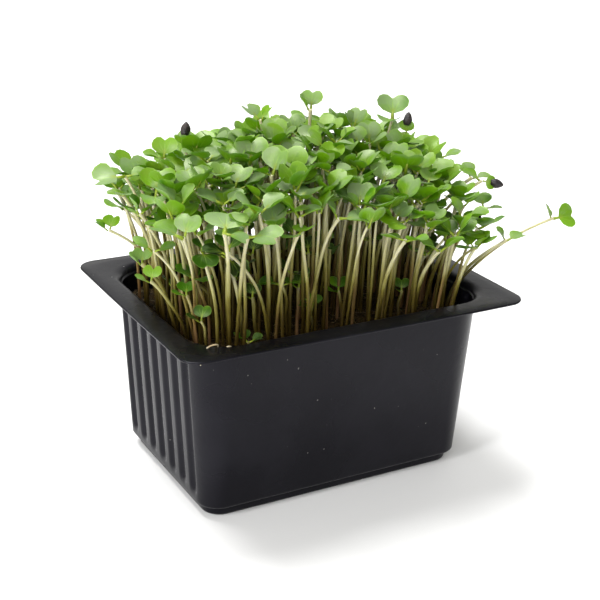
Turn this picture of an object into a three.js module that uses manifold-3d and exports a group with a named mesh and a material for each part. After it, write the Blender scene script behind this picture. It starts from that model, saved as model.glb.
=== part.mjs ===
// Potted broccoli cress: a thin black thermoformed tray, the peaty medium that fills it, and a dense
// stand of sprouts. Each sprout is a pale stem with two notched seed leaves.
// Millimetres, +Z up. The origin is the middle of the tray's flat underside, X runs along the tray,
// and -Y is its front.
import * as THREE from "three";
import { mergeVertices } from "three/addons/utils/BufferGeometryUtils.js";
import Module from "manifold-3d";

const wasm = await Module();
wasm.setup();

// Tray: one sheet of plastic, drawn down from a flat flange
const TRAY_LENGTH = 98;
const TRAY_WIDTH = 74.2;
const TRAY_HEIGHT = 50.2;
const SHEET = 0.6; // thickness of the plastic
const FLANGE_WIDTH = 5.2; // flat part of the flange, from its outer edge to the mouth
const FLANGE_CORNER = 5.1; // radius of the flange's outer corners
const MOUTH_CORNER = 11; // radius of the mouth's corners
const MOUTH_FILLET = 1.6; // how far the wall steps in below the flange
const FILLET_DROP = 0.7; // how far the fillet's round edge lies below the flange
const WALL_TOP = TRAY_HEIGHT - 2; // the wall runs straight down from here
const TAPER_X = 3.5; // how far the short walls lean in from top to bottom
const TAPER_Y = 4; // the same of the long walls
const BOTTOM_CORNER = 5.5;
const CORNER_STEPS = 4;
const CORNER_START = 0.6; // from the last groove to the corner's arc
const FOOT_HEIGHT = 2.8;
const FOOT_CORNER = 4.8;
const FOOT_INSET = 1.5; // width of the ledge between wall and foot
const FOOT_ROUND = 1; // how far the foot's lower edge is rounded in
const LEDGE_DROP = 0.5; // how far the ledge slopes down to the foot
const FLUTE_COUNT = 7; // upright grooves pressed into each short wall
const FLUTE_PITCH = 6.4;
const FLUTE_WIDTH = 4.4;
const FLUTE_DEPTH = 1.1;
const FLUTE_BOTTOM = 4.9; // height at which the grooves start
const FLUTE_FULL = 7.6; // height from which they have their whole depth
const FLUTE_TOP = WALL_TOP - 0.6; // height up to which they run

// Growing medium
const FIT = 0.3; // clearance between pieces that touch
const MEDIUM_TOP = 44.5;
const MEDIUM_EDGE = 4; // the medium's sides are straight up to this far below its top
const MEDIUM_CORNER = 10;
const MEDIUM_SIDES = 20; // points round the block
const TOP_RINGS = [1, 0.84, 0.45]; // shares of the block's size at which its top has points
const HUMP = { height: 0.5, alongX: 0.31, alongY: 0.27 }; // the top's unevenness, turns in radians per mm
const RIPPLE = { height: 0.35, alongX: -0.2, alongY: 0.53 };
const WALL_SINK = 1.8; // how far the top sinks along the walls
const MEDIUM_HALF = [40, 29]; // half of the top's length and width

// Root tangles, each of which stands in a plain hole and carries a few sprouts
const TANGLE_RADIUS = 2.3;
const TANGLE_DEPTH = 6;
const TANGLE_SIDES = 5;
const TANGLE_SINK = 0.1; // the tangle's top lies this far below the medium's
const HOLE_RADIUS = 3.15;
const HOLE_ABOVE = 3; // how far the cut for a hole starts above the medium
const STEMS_PER_TANGLE = 4;
const STEM_SPREAD = 1.05; // from the middle of a tangle to its stems
const ROW_PITCH = 9.6;
const COLUMN_PITCH = 10.4;
const ROWS = 6;
const COLUMNS = 8;
const JITTER = 1.2;
const FIRST_STEM_ANGLE = 0.4; // direction of the first of a tangle's four stems, in radians
const CORNER_TANGLE = [35.4, -18]; // a tangle close to the right front corner
const TANGLE_GAP = 7.5; // least distance between two tangles
const CORNER_FREE = [33, 20]; // no other tangle lies past both of these
const WALL_FREE = [37.4, 26]; // or past one of these

// Sprouts
const STEM_HALF = 0.45; // half the width of a stem's side
const STEM_STEPS = 3;
const LEANING_STEPS = 5; // of a stem that leans far over
const FAR_LEAN = 14;
const STEM_ROOT = 2.5; // how deep a stem runs into its tangle
const STEM_BEND = [0.16, 0.68]; // share of its lean and of its height at which a stem bends over
const BLADE_THICKNESS = 0.6;
const STALK_SHARE = 0.18; // length of a leaf's stalk and of its blade, as shares of the leaf's width
const BLADE_SHARE = 0.66;
const NOTCH = [0, 0.82, -0.05]; // shares of the width across, of the blade's length, and of the cup
const HALF_BLADE = [
  [0.27, 1, 0.02],
  [0.5, 0.58, 0.14],
  [0.35, 0.12, 0.07],
];
const CANOPY_TOP = 86.7;
const CANOPY_HALF = [45, 28]; // half of the canopy's length and width
const CANOPY_SLOPE = [-1.5, 2.3]; // how much it rises to the right end and to the back
const CANOPY_FALL = [8.2, 6.8]; // how much it falls to the ends and to the sides
const CANOPY_TWIST = 6; // how much more of a rise to the back it has at the right end
const LOWEST_TOP = 65;
const TOP_SPREAD = 1.14; // how much wider the tops stand than the tangles
const LEAN_LEAST = 1;
const LEAN_MORE = 7;
const TOP_JITTER = 3;
const TOP_DROP = 12; // how far below the canopy the lowest sprouts end
const WIDTH_LEAST = 5.8;
const WIDTH_MORE = 3.4;
const RISE_LEAST = 8; // in degrees
const RISE_MORE = 50;
const TURN_JITTER = 40;
const CLEARANCE = 1.4; // between the sample points of two sprouts
const STEM_SAMPLES = 32;
const LOW_STEM = 6; // stems of one tangle may stand closer together below this height
const TRIES = 150;
const SEED = 71332;

// Seed hulls
const HULL_RADIUS = 1.6;
const HULL_LENGTH = 4.4;
const HULL_SIDES = 7;
const HULL_STEPS = 4;
const HULL_GRIP = 1.5; // how far a leaf tip reaches into its hull

const PLASTIC = new THREE.MeshStandardMaterial({ color: 0x2a292d, roughness: 0.28 });
const PEAT = new THREE.MeshStandardMaterial({ color: 0x2b1c10, roughness: 0.95 });
const LEAF_GREEN = new THREE.MeshStandardMaterial({ color: 0x5f9440, roughness: 0.55 });
const HULL_BROWN = new THREE.MeshStandardMaterial({ color: 0x1c1512, roughness: 0.6 });

// A geometry as a solid that can be joined and cut.
function solidOf(geometry) {
  const bare = geometry.clone();
  bare.deleteAttribute("normal");
  bare.deleteAttribute("uv");
  const merged = mergeVertices(bare, 1e-4);
  return new wasm.Manifold(
    new wasm.Mesh({
      numProp: 3,
      vertProperties: new Float32Array(merged.attributes.position.array),
      triVerts: new Uint32Array(merged.index.array),
    }),
  );
}

// A solid back as a geometry.
function geometryOf(solid) {
  const mesh = solid.getMesh();
  const geometry = new THREE.BufferGeometry();
  geometry.setAttribute("position", new THREE.BufferAttribute(mesh.vertProperties, 3));
  geometry.setIndex(new THREE.BufferAttribute(mesh.triVerts, 1));
  geometry.computeVertexNormals();
  return geometry;
}

function geometryFrom(points, faces) {
  const geometry = new THREE.BufferGeometry();
  geometry.setAttribute("position", new THREE.Float32BufferAttribute(points.flat(), 3));
  geometry.setIndex(faces.flat());
  geometry.computeVertexNormals();
  return geometry;
}

// Rings of points, each with as many points as the last, skinned into one closed body. The first
// and the last ring are closed by a fan about their middles.
function skin(rings) {
  const count = rings[0].length;
  const points = rings.flat();
  const faces = [];
  for (let ring = 0; ring + 1 < rings.length; ring++) {
    for (let i = 0; i < count; i++) {
      const a = ring * count + i;
      const b = ring * count + ((i + 1) % count);
      faces.push([a, b, b + count], [a, b + count, a + count]);
    }
  }
  const last = (rings.length - 1) * count;
  const bottom = points.length;
  points.push([0, 0, rings[0][0][2]], [0, 0, rings.at(-1)[0][2]]);
  for (let i = 0; i < count; i++) {
    const next = (i + 1) % count;
    faces.push([bottom, next, i], [bottom + 1, last + i, last + next]);
  }
  return geometryFrom(points, faces);
}

// One quarter of the tray's outline at a height, from the middle of the short side to the long side.
// The short side carries the grooves, and the corner's arc takes over where they end.
function quarterOutline(halfX, halfY, corner, fluteDepth) {
  const shortSide = halfY - corner; // half of the short side's straight stretch
  const edge = (y) => {
    const past = Math.max(0, y - shortSide);
    return halfX - corner + Math.sqrt(Math.max(0, corner * corner - past * past));
  };
  const points = [];
  for (let flute = 0; flute <= (FLUTE_COUNT - 1) / 2; flute++) {
    const middle = flute * FLUTE_PITCH;
    const profile = [
      [-FLUTE_WIDTH / 2, 0],
      [-FLUTE_WIDTH / 4, fluteDepth],
      [FLUTE_WIDTH / 4, fluteDepth],
      [FLUTE_WIDTH / 2, 0],
    ];
    for (const [across, depth] of profile) {
      const y = middle + across;
      if (y > 0) points.push([edge(y) - depth, y]);
    }
  }
  const lastY = points.at(-1)[1];
  const start = Math.asin(THREE.MathUtils.clamp((lastY + CORNER_START - shortSide) / corner, 0, 1));
  for (let i = 0; i <= CORNER_STEPS; i++) {
    const angle = THREE.MathUtils.lerp(start, Math.PI / 2, i / CORNER_STEPS);
    points.push([halfX - corner + corner * Math.cos(angle), shortSide + corner * Math.sin(angle)]);
  }
  return points;
}

// The whole outline, counter-clockwise from above.
function trayRing(z, insetX, insetY, corner, fluteDepth) {
  const quarter = quarterOutline(
    TRAY_LENGTH / 2 - insetX,
    TRAY_WIDTH / 2 - insetY,
    corner,
    fluteDepth,
  );
  const back = [...quarter].reverse();
  return [
    ...quarter.map(([x, y]) => [x, y, z]),
    ...back.map(([x, y]) => [-x, y, z]),
    ...quarter.map(([x, y]) => [-x, -y, z]),
    ...back.map(([x, y]) => [x, -y, z]),
  ];
}

// How far down the taper a height is: 0 at the top of the wall, 1 at the underside.
function shareDown(z) {
  return (WALL_TOP - z) / WALL_TOP;
}

// The wall's outer face at a height, moved in by the thickness for its inner face.
function wallRing(z, fluteDepth, inward = 0) {
  const down = shareDown(z);
  const inset = FLANGE_WIDTH + MOUTH_FILLET + inward;
  const corner = THREE.MathUtils.lerp(MOUTH_CORNER, BOTTOM_CORNER, down) - inward;
  return trayRing(z, inset + TAPER_X * down, inset + TAPER_Y * down, corner, fluteDepth);
}

function footRing(z, roundedIn, inward = 0) {
  const inset = FLANGE_WIDTH + MOUTH_FILLET + FOOT_INSET + inward + roundedIn;
  return trayRing(z, inset + TAPER_X, inset + TAPER_Y, FOOT_CORNER, 0);
}

function flangeRing(z, inset, corner) {
  return trayRing(z, inset, inset, corner, 0);
}

function trayGeometry() {
  const outside = [
    footRing(0, FOOT_ROUND),
    footRing(0.9 * FOOT_ROUND, 0.1 * FOOT_ROUND),
    footRing(FOOT_HEIGHT, 0),
    wallRing(FOOT_HEIGHT + LEDGE_DROP, 0),
    wallRing(FLUTE_BOTTOM, 0),
    wallRing((FLUTE_BOTTOM + FLUTE_FULL) / 2, 0.75 * FLUTE_DEPTH),
    wallRing(FLUTE_FULL, FLUTE_DEPTH),
    wallRing(FLUTE_TOP, FLUTE_DEPTH),
    flangeRing(TRAY_HEIGHT - SHEET, FLANGE_WIDTH, MOUTH_CORNER),
    flangeRing(TRAY_HEIGHT - SHEET, 0, FLANGE_CORNER),
  ];
  const inside = [
    flangeRing(TRAY_HEIGHT, 0, FLANGE_CORNER),
    flangeRing(TRAY_HEIGHT, FLANGE_WIDTH, MOUTH_CORNER),
    flangeRing(TRAY_HEIGHT - FILLET_DROP, FLANGE_WIDTH + MOUTH_FILLET, MOUTH_CORNER),
    wallRing(FLUTE_TOP, FLUTE_DEPTH, SHEET),
    wallRing(FLUTE_FULL, FLUTE_DEPTH, SHEET),
    wallRing(FLUTE_BOTTOM, 0, SHEET),
    wallRing(FOOT_HEIGHT + LEDGE_DROP + SHEET, 0, SHEET),
    footRing(FOOT_HEIGHT, 0, SHEET),
    footRing(SHEET, FOOT_ROUND / 2, SHEET),
  ];
  return skin([...outside, ...inside]);
}

// Height of the medium's uneven top, lower along the walls.
function soilHeight(x, y) {
  const toWall = Math.max(Math.abs(x) / MEDIUM_HALF[0], Math.abs(y) / MEDIUM_HALF[1]);
  const hump = HUMP.height * Math.sin(HUMP.alongX * x + 1) * Math.cos(HUMP.alongY * y);
  const ripple = RIPPLE.height * Math.sin(RIPPLE.alongX * x + RIPPLE.alongY * y);
  return MEDIUM_TOP + hump + ripple - WALL_SINK * toWall ** 6;
}

// One ring round the medium. Its height is a number or follows the uneven top.
function mediumRing([halfX, halfY], corner, height) {
  const points = [];
  const side = MEDIUM_SIDES / 4;
  for (let i = 0; i < MEDIUM_SIDES; i++) {
    const quadrant = Math.floor(i / side);
    const angle = ((quadrant + (i % side) / (side - 1)) * Math.PI) / 2;
    const cornerX = quadrant === 0 || quadrant === 3 ? halfX - corner : corner - halfX;
    const cornerY = quadrant < 2 ? halfY - corner : corner - halfY;
    const x = cornerX + corner * Math.cos(angle);
    const y = cornerY + corner * Math.sin(angle);
    points.push([x, y, typeof height === "number" ? height : height(x, y)]);
  }
  return points;
}

// The block of medium: it stands on the tray's floor and fills the foot and the walls.
function mediumGeometry() {
  const inset = FLANGE_WIDTH + MOUTH_FILLET + SHEET + FIT;
  const halfAt = (z, further) => [
    TRAY_LENGTH / 2 - inset - TAPER_X * shareDown(z) - further,
    TRAY_WIDTH / 2 - inset - TAPER_Y * shareDown(z) - further,
  ];
  const foot = halfAt(0, FOOT_INSET + FOOT_ROUND);
  const step = FOOT_HEIGHT + LEDGE_DROP + SHEET + FIT;
  const aboveStep = step + FIT;
  const edge = MEDIUM_TOP - MEDIUM_EDGE;
  const top = halfAt(edge, FLUTE_DEPTH);
  const rings = [
    mediumRing(foot, BOTTOM_CORNER, SHEET + FIT),
    mediumRing(foot, BOTTOM_CORNER, step),
    mediumRing(halfAt(aboveStep, FLUTE_DEPTH), BOTTOM_CORNER + 1, aboveStep),
    mediumRing(top, MEDIUM_CORNER, edge),
  ];
  for (const share of TOP_RINGS) {
    rings.push(mediumRing([top[0] * share, top[1] * share], MEDIUM_CORNER * share, soilHeight));
  }
  return skin(rings);
}

// Numbers between 0 and 1 that are the same in each run.
function seededRandom(seed) {
  let state = seed;
  return () => {
    state = (state * 48271) % 2147483647;
    return state / 2147483647;
  };
}

// Where the root tangles stand: the corner tangle, then staggered rows.
function tanglePlaces(random) {
  const places = [CORNER_TANGLE];
  for (let row = 0; row < ROWS; row++) {
    const count = row % 2 ? COLUMNS : COLUMNS - 1;
    for (let column = 0; column < count; column++) {
      const x = (column - (count - 1) / 2) * COLUMN_PITCH + JITTER * (random() - 0.5) * 2;
      const y = (row - (ROWS - 1) / 2) * ROW_PITCH + JITTER * (random() - 0.5) * 2;
      const crowded = places.some(([a, b]) => Math.hypot(a - x, b - y) < TANGLE_GAP);
      const inCorner = Math.abs(x) > CORNER_FREE[0] && Math.abs(y) > CORNER_FREE[1];
      const nearWall = Math.abs(x) > WALL_FREE[0] || Math.abs(y) > WALL_FREE[1];
      if (!crowded && !inCorner && !nearWall) places.push([x, y]);
    }
  }
  return places;
}

// How a seed leaf is held: its turn about the stem and its rise above the level in degrees, its
// width, its roll about its own stalk and how much its two halves fold up.
function leaf(turn, rise, width, roll = 0, cup = 1) {
  return { turn, rise, width, roll, cup };
}

// The sprouts that stand out, as [nearest tangle, top of the stem, leaf, leaf, hull or nothing]. Turn
// 60 points to the back and away from the viewer, 150 to the left, -30 to the right and -120 to the
// viewer. A leaf without cup is the one that a hull sits on.
const LEADERS = [
  [[37, -18], [69, -20, 65], leaf(-15, 8, 7.2, 55), leaf(150, 65, 5)], // reaches far out to the right
  [[37, -18], [51, -23, 62], leaf(140, 62, 5), leaf(-10, 25, 5.8)], // below it
  [[37, -18], [45.5, -13, 63.5], leaf(160, 20, 7.5), leaf(0, 52, 3.6, 0, 0), "hull"],
  [[36, -6], [55, -7, 66], leaf(75, 45, 6), leaf(-30, 4, 5.5, -22)],
  [[36, -5], [51, -10, 75], leaf(140, 35, 6.5), leaf(-30, -10, 4, 60, 0), "hull"],
  [[37, 4], [53, -3, 73.8], leaf(100, 45, 6.5), leaf(-30, 15, 6)],
  [[31, 4], [46, -1, 72.5], leaf(60, 66, 6.6), leaf(-90, 5, 6)],
  [[36, 5], [50, 9, 77], leaf(110, 30, 7.5), leaf(-40, 25, 7)],
  [[30, 3], [38.5, 4, 80], leaf(60, 42, 8.5), leaf(-120, 0, 7)],
  [[30, 14], [39, 17.5, 87], leaf(60, 52, 9.2), leaf(-140, 12, 7)], // heart at the top right
  [[31, 12], [40, 12, 83.8], leaf(40, 78, 4.5, 0, 0), leaf(150, 5, 4.5), "hull"],
  [[21, 16], [27, 19, 85.5], leaf(120, 72, 5.5), leaf(20, 66, 6.6)],
  [[16, 20], [18, 27, 86], leaf(-35, 14, 8), leaf(150, 25, 7)],
  [[8, 10], [9, 12, 93.5], leaf(50, 68, 6.2), leaf(150, 62, 5.5)], // the highest
  [[6, 15], [8, 19, 85], leaf(80, 55, 7.5), leaf(-30, 58, 6)],
  [[-4, 5], [-5, 6, 88.5], leaf(60, 58, 6.5), leaf(-120, 20, 6)],
  [[-4, 13], [-5, 14, 91.5], leaf(120, 38, 6.8), leaf(-10, 62, 5)],
  [[-22, 14], [-26, 16, 86], leaf(40, 80, 4.5, 0, 0), leaf(220, 66, 4.5), "hull"], // still closed
  [[-29, 6], [-35, 8, 85.5], leaf(60, 68, 6.6), leaf(160, 22, 6)],
  [[-33, 14], [-40, 19, 80], leaf(120, 48, 7.5), leaf(-50, 20, 6.5)],
  [[-36, 5], [-47, 4, 83.4], leaf(168, -2, 9, -18), leaf(-10, 12, 7)], // wide pale one at the left
  [[-36, 5], [-45, 11, 76.5], leaf(-100, 25, 6.5), leaf(150, 10, 4.5)],
  [[-36, 14], [-45, 21, 64], leaf(150, 45, 4.8), leaf(40, 55, 5)], // short one at the left
  [[-26, -4], [-30, -4, 82.3], leaf(170, -3, 4, 0, 0), leaf(50, 52, 7), "hull"],
  [[-33, -4], [-43, -6, 81], leaf(60, 46, 9), leaf(-120, 8, 7)],
  [[-10, -10], [-11, -12, 83], leaf(60, 62, 10.6), leaf(-110, 2, 7.5)], // the widest
  [[-22, -13], [-26, -13, 83], leaf(30, 48, 7.5), leaf(200, 20, 7)],
  [[-26, -18], [-32, -20, 81.5], leaf(150, 30, 8), leaf(-10, 40, 6.5)],
  [[-16, -20], [-18, -24, 79], leaf(100, 72, 5.6), leaf(-60, 20, 6.8)],
  [[-30, -23], [-38, -33, 79], leaf(60, 18, 10.4), leaf(-40, -4, 6)],
  [[-24, -20], [-33, -25, 71], leaf(60, 50, 7), leaf(165, 20, 7)],
  [[-34, -17], [-44, -24, 76], leaf(140, 26, 9), leaf(40, 58, 7)],
  [[-36, -9], [-46, -11, 69], leaf(150, 35, 6.5), leaf(-30, 20, 6)],
  [[-10, -22], [-5, -28, 77], leaf(150, 64, 6), leaf(-30, 4, 8)], // leans across the front
  [[2, -20], [3, -24, 78], leaf(50, 66, 7), leaf(150, 36, 7.5)],
  [[10, -16], [14, -17, 80], leaf(40, 44, 8.4), leaf(-130, 10, 7)],
  [[16, -14], [22, -20, 74.5], leaf(70, 40, 7.5), leaf(-50, 0, 7)],
  [[25, -16], [28, -19, 60], leaf(20, 20, 7), leaf(180, 30, 6)], // low and in the shade
];

const radians = THREE.MathUtils.degToRad;

// The frame of a leaf: Y runs from the stem to the tip, and Z is the normal of the upper face.
function leafFrame(held) {
  const turn = radians(held.turn);
  const rise = radians(held.rise);
  const along = new THREE.Vector3(
    Math.cos(rise) * Math.cos(turn),
    Math.cos(rise) * Math.sin(turn),
    Math.sin(rise),
  );
  const across = new THREE.Vector3(Math.sin(turn), -Math.cos(turn), 0);
  across.applyAxisAngle(along, radians(held.roll));
  const normal = new THREE.Vector3().crossVectors(across, along);
  return { across, along, normal };
}

// The level direction that a leaf points in.
function outwardOf(held) {
  return new THREE.Vector3(Math.cos(radians(held.turn)), Math.sin(radians(held.turn)), 0);
}

// Points of the leaf's upper face in world space: the notch, three points of the right half, the two
// points of the stalk's root and three points of the left half. Only the blade follows the roll.
const ROOT_POINTS = [4, 5];
function leafPoints(top, held) {
  const { across, along, normal } = leafFrame(held);
  const unrolled = leafFrame({ ...held, roll: 0 });
  const root = new THREE.Vector3(...top).addScaledVector(outwardOf(held), STEM_HALF);
  const onBlade = ([x, y, z]) =>
    root
      .clone()
      .addScaledVector(across, x * held.width)
      .addScaledVector(along, (STALK_SHARE + y * BLADE_SHARE) * held.width)
      .addScaledVector(normal, z * held.cup * held.width + BLADE_THICKNESS / 2);
  const onRoot = (x) =>
    root
      .clone()
      .addScaledVector(unrolled.across, x)
      .addScaledVector(unrolled.normal, BLADE_THICKNESS / 2);
  return [
    onBlade(NOTCH),
    ...HALF_BLADE.map(onBlade),
    onRoot(STEM_HALF),
    onRoot(-STEM_HALF),
    ...HALF_BLADE.map(([x, y, z]) => onBlade([-x, y, z])).reverse(),
  ];
}

// The lower face, straight below the upper one.
function lowerPoints(upper, held) {
  const blade = leafFrame(held).normal;
  const root = leafFrame({ ...held, roll: 0 }).normal;
  return upper.map((point, i) =>
    point.clone().addScaledVector(ROOT_POINTS.includes(i) ? root : blade, -BLADE_THICKNESS),
  );
}

// A stem stands upright in the medium and bends over towards its top.
function stemCurve(foot, top, depth) {
  const ground = soilHeight(foot[0], foot[1]);
  const start = new THREE.Vector3(foot[0], foot[1], ground - depth);
  const bend = new THREE.Vector3(
    foot[0] + STEM_BEND[0] * (top[0] - foot[0]),
    foot[1] + STEM_BEND[0] * (top[1] - foot[1]),
    ground + STEM_BEND[1] * (top[2] - ground),
  );
  return new THREE.QuadraticBezierCurve3(start, bend, new THREE.Vector3(...top));
}

// Rings of a square stem from its foot up to just below its top, turned towards its first leaf.
function stemRings(foot, top, outward) {
  const curve = stemCurve(foot, top, STEM_ROOT);
  const lean = Math.hypot(top[0] - foot[0], top[1] - foot[1]);
  const steps = lean > FAR_LEAN ? LEANING_STEPS : STEM_STEPS;
  const corners = [
    [1, -1],
    [1, 1],
    [-1, 1],
    [-1, -1],
  ];
  const rings = [];
  for (let step = 0; step < steps; step++) {
    const centre = curve.getPoint(step / steps);
    const tangent = curve.getTangent(step / steps);
    const u = outward.clone().addScaledVector(tangent, -outward.dot(tangent)).normalize();
    const v = new THREE.Vector3().crossVectors(tangent, u);
    rings.push(
      corners.map(([a, b]) =>
        centre.clone().addScaledVector(u, a * STEM_HALF).addScaledVector(v, b * STEM_HALF),
      ),
    );
  }
  return rings;
}

function quad(a, b, c, d) {
  return [
    [a, b, c],
    [a, c, d],
  ];
}

// One sprout as a single closed body: the stem's rings, on the last of which both seed leaves have
// their roots, the two faces and the rim of each leaf, and the crown between the leaves.
function sproutGeometry({ foot, top, leaves }) {
  const points = [];
  const faces = [];
  const add = (point) => points.push(point.toArray()) - 1;
  const roots = leaves.map((held) => {
    const upper = leafPoints(top, held);
    const high = upper.map(add);
    const low = lowerPoints(upper, held).map(add);
    for (let i = 1; i + 1 < high.length; i++) {
      faces.push([high[0], high[i + 1], high[i]], [low[0], low[i], low[i + 1]]);
    }
    for (let i = 0; i < high.length; i++) {
      const next = (i + 1) % high.length;
      if (i !== ROOT_POINTS[0]) faces.push(...quad(high[i], high[next], low[next], low[i]));
    }
    return { high: ROOT_POINTS.map((i) => high[i]), low: ROOT_POINTS.map((i) => low[i]) };
  });
  const rings = stemRings(foot, top, outwardOf(leaves[0])).map((ring) => ring.map(add));
  rings.push([...roots[0].low, ...roots[1].low]);
  const crown = [...roots[0].high, ...roots[1].high];
  for (let ring = 0; ring + 1 < rings.length; ring++) {
    const [lower, upper] = [rings[ring], rings[ring + 1]];
    for (let i = 0; i < 4; i++) {
      const next = (i + 1) % 4;
      faces.push(...quad(lower[i], lower[next], upper[next], upper[i]));
    }
  }
  const last = rings.at(-1);
  faces.push(...quad(last[1], last[2], crown[2], crown[1]), ...quad(last[3], last[0], crown[0], crown[3]));
  faces.push(...quad(...crown), ...quad(...rings[0].toReversed()));
  return geometryFrom(points, faces);
}

// Points spread over a sprout, close enough together to tell whether another one comes too near:
// on each blade along lines from the notch to the outline, and along the stem.
function samplesOf(sprout) {
  const samples = [];
  for (const held of sprout.leaves) {
    const [notch, ...outline] = leafPoints(sprout.top, held);
    outline.forEach((point, i) => {
      const ends = i + 1 < outline.length ? [point, point.clone().lerp(outline[i + 1], 0.5)] : [point];
      for (const end of ends) {
        for (let part = 1; part <= 3; part++) {
          samples.push(notch.clone().lerp(end, part / 3).toArray());
        }
      }
    });
  }
  const curve = stemCurve(sprout.foot, sprout.top, 0);
  for (let i = 0; i < STEM_SAMPLES; i++) {
    samples.push(curve.getPoint(i / STEM_SAMPLES).toArray());
  }
  return samples;
}

// Whether a sprout keeps clear of all that stand already. Stems of one tangle may meet low down.
function isClear(samples, tangle, standing) {
  return samples.every((a) =>
    standing.every((other) => {
      const reach = other.reach;
      if (Math.hypot(a[0] - reach.x, a[1] - reach.y) > reach.radius + CLEARANCE) return true;
      return other.samples.every((b) => {
        const apart = Math.hypot(a[0] - b[0], a[1] - b[1], a[2] - b[2]);
        const low = a[2] < MEDIUM_TOP + LOW_STEM && other.tangle === tangle;
        return apart > CLEARANCE || low;
      });
    }),
  );
}

function stand(sprout, tangle, samples, standing) {
  const x = samples.reduce((sum, p) => sum + p[0], 0) / samples.length;
  const y = samples.reduce((sum, p) => sum + p[1], 0) / samples.length;
  const radius = Math.max(...samples.map((p) => Math.hypot(p[0] - x, p[1] - y)));
  standing.push({ ...sprout, tangle, samples, reach: { x, y, radius } });
}

// Height of the canopy over a point: highest at the middle of the back, lower at the edges and corners.
function canopyHeight(x, y) {
  const right = x / CANOPY_HALF[0];
  const back = y / CANOPY_HALF[1];
  const slope = CANOPY_SLOPE[0] * right + CANOPY_SLOPE[1] * back + CANOPY_TWIST * right * back;
  return CANOPY_TOP + slope - CANOPY_FALL[0] * right ** 2 - CANOPY_FALL[1] * back ** 2;
}

function slotAngle(slot) {
  return FIRST_STEM_ANGLE + (slot * Math.PI) / 2;
}

// The four places for stems on a tangle. A new stem takes the free one nearest to where it leans.
function takeFoot(place, top, taken) {
  const lean = Math.atan2(top[1] - place[1], top[0] - place[0]);
  const off = (slot) => (taken.has(slot) ? Infinity : 1 - Math.cos(lean - slotAngle(slot)));
  const slot = [0, 1, 2, 3].reduce((best, next) => (off(next) < off(best) ? next : best));
  const angle = slotAngle(slot);
  const foot = [place[0] + STEM_SPREAD * Math.cos(angle), place[1] + STEM_SPREAD * Math.sin(angle)];
  return { slot, foot };
}

function drawTop(place, random) {
  const around = 2 * Math.PI * random();
  const lean = LEAN_LEAST + LEAN_MORE * random();
  const x = TOP_SPREAD * place[0] + lean * Math.cos(around);
  const y = TOP_SPREAD * place[1] + lean * Math.sin(around);
  const right = Math.min(1, Math.abs(x) / CANOPY_HALF[0]);
  const back = Math.min(1, Math.abs(y) / CANOPY_HALF[1]);
  const drop = TOP_DROP * (1 - back ** 2 * (1 - right ** 2));
  const z = canopyHeight(x, y) + TOP_JITTER * (random() - 0.5) - drop * random() ** 2;
  return [x, y, Math.max(z, LOWEST_TOP)];
}

function drawLeaves(random) {
  const turn = 360 * random();
  return [0, 180].map((side) =>
    leaf(
      turn + side + TURN_JITTER * (random() - 0.5),
      RISE_LEAST + RISE_MORE * random(),
      WIDTH_LEAST + WIDTH_MORE * random(),
      TURN_JITTER * (random() - 0.5),
    ),
  );
}

// All sprouts: the leaders in the tangles nearest to them, then others drawn until each tangle has
// its number or no room is left.
function plantSprouts(places, random) {
  const standing = [];
  const taken = places.map(() => new Set());
  const plant = (tangle, top, leaves, hull, always) => {
    const { slot, foot } = takeFoot(places[tangle], top, taken[tangle]);
    const sprout = { foot, top, leaves, hull };
    const samples = samplesOf(sprout);
    if (!always && !isClear(samples, tangle, standing)) return false;
    stand(sprout, tangle, samples, standing);
    taken[tangle].add(slot);
    return true;
  };
  for (const [near, top, first, second, hull] of LEADERS) {
    const distance = (i) => {
      const full = taken[i].size >= STEMS_PER_TANGLE;
      return full ? Infinity : Math.hypot(places[i][0] - near[0], places[i][1] - near[1]);
    };
    const tangle = places.reduce((best, _, i) => (distance(i) < distance(best) ? i : best), 0);
    plant(tangle, top, [first, second], Boolean(hull), true);
  }
  for (let round = 0; round < STEMS_PER_TANGLE; round++) {
    places.forEach((place, tangle) => {
      if (taken[tangle].size > round) return;
      for (let attempt = 0; attempt < TRIES; attempt++) {
        if (plant(tangle, drawTop(place, random), drawLeaves(random), false, false)) return;
      }
    });
  }
  return standing;
}

function prismAt(place, radius, low, high) {
  const prism = new THREE.CylinderGeometry(radius, radius, high - low, TANGLE_SIDES);
  prism.rotateX(Math.PI / 2);
  prism.translate(place[0], place[1], (low + high) / 2);
  return prism;
}

function tangleHole(place) {
  const ground = soilHeight(...place);
  return prismAt(place, HOLE_RADIUS, ground - TANGLE_DEPTH - FIT, ground + HOLE_ABOVE);
}

function clumpGeometry(place, sprouts) {
  const ground = soilHeight(...place);
  const tangle = prismAt(place, TANGLE_RADIUS, ground - TANGLE_DEPTH, ground - TANGLE_SINK);
  let clump = solidOf(tangle);
  for (const sprout of sprouts) {
    clump = clump.add(solidOf(sproutGeometry(sprout)));
  }
  return geometryOf(clump);
}

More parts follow.
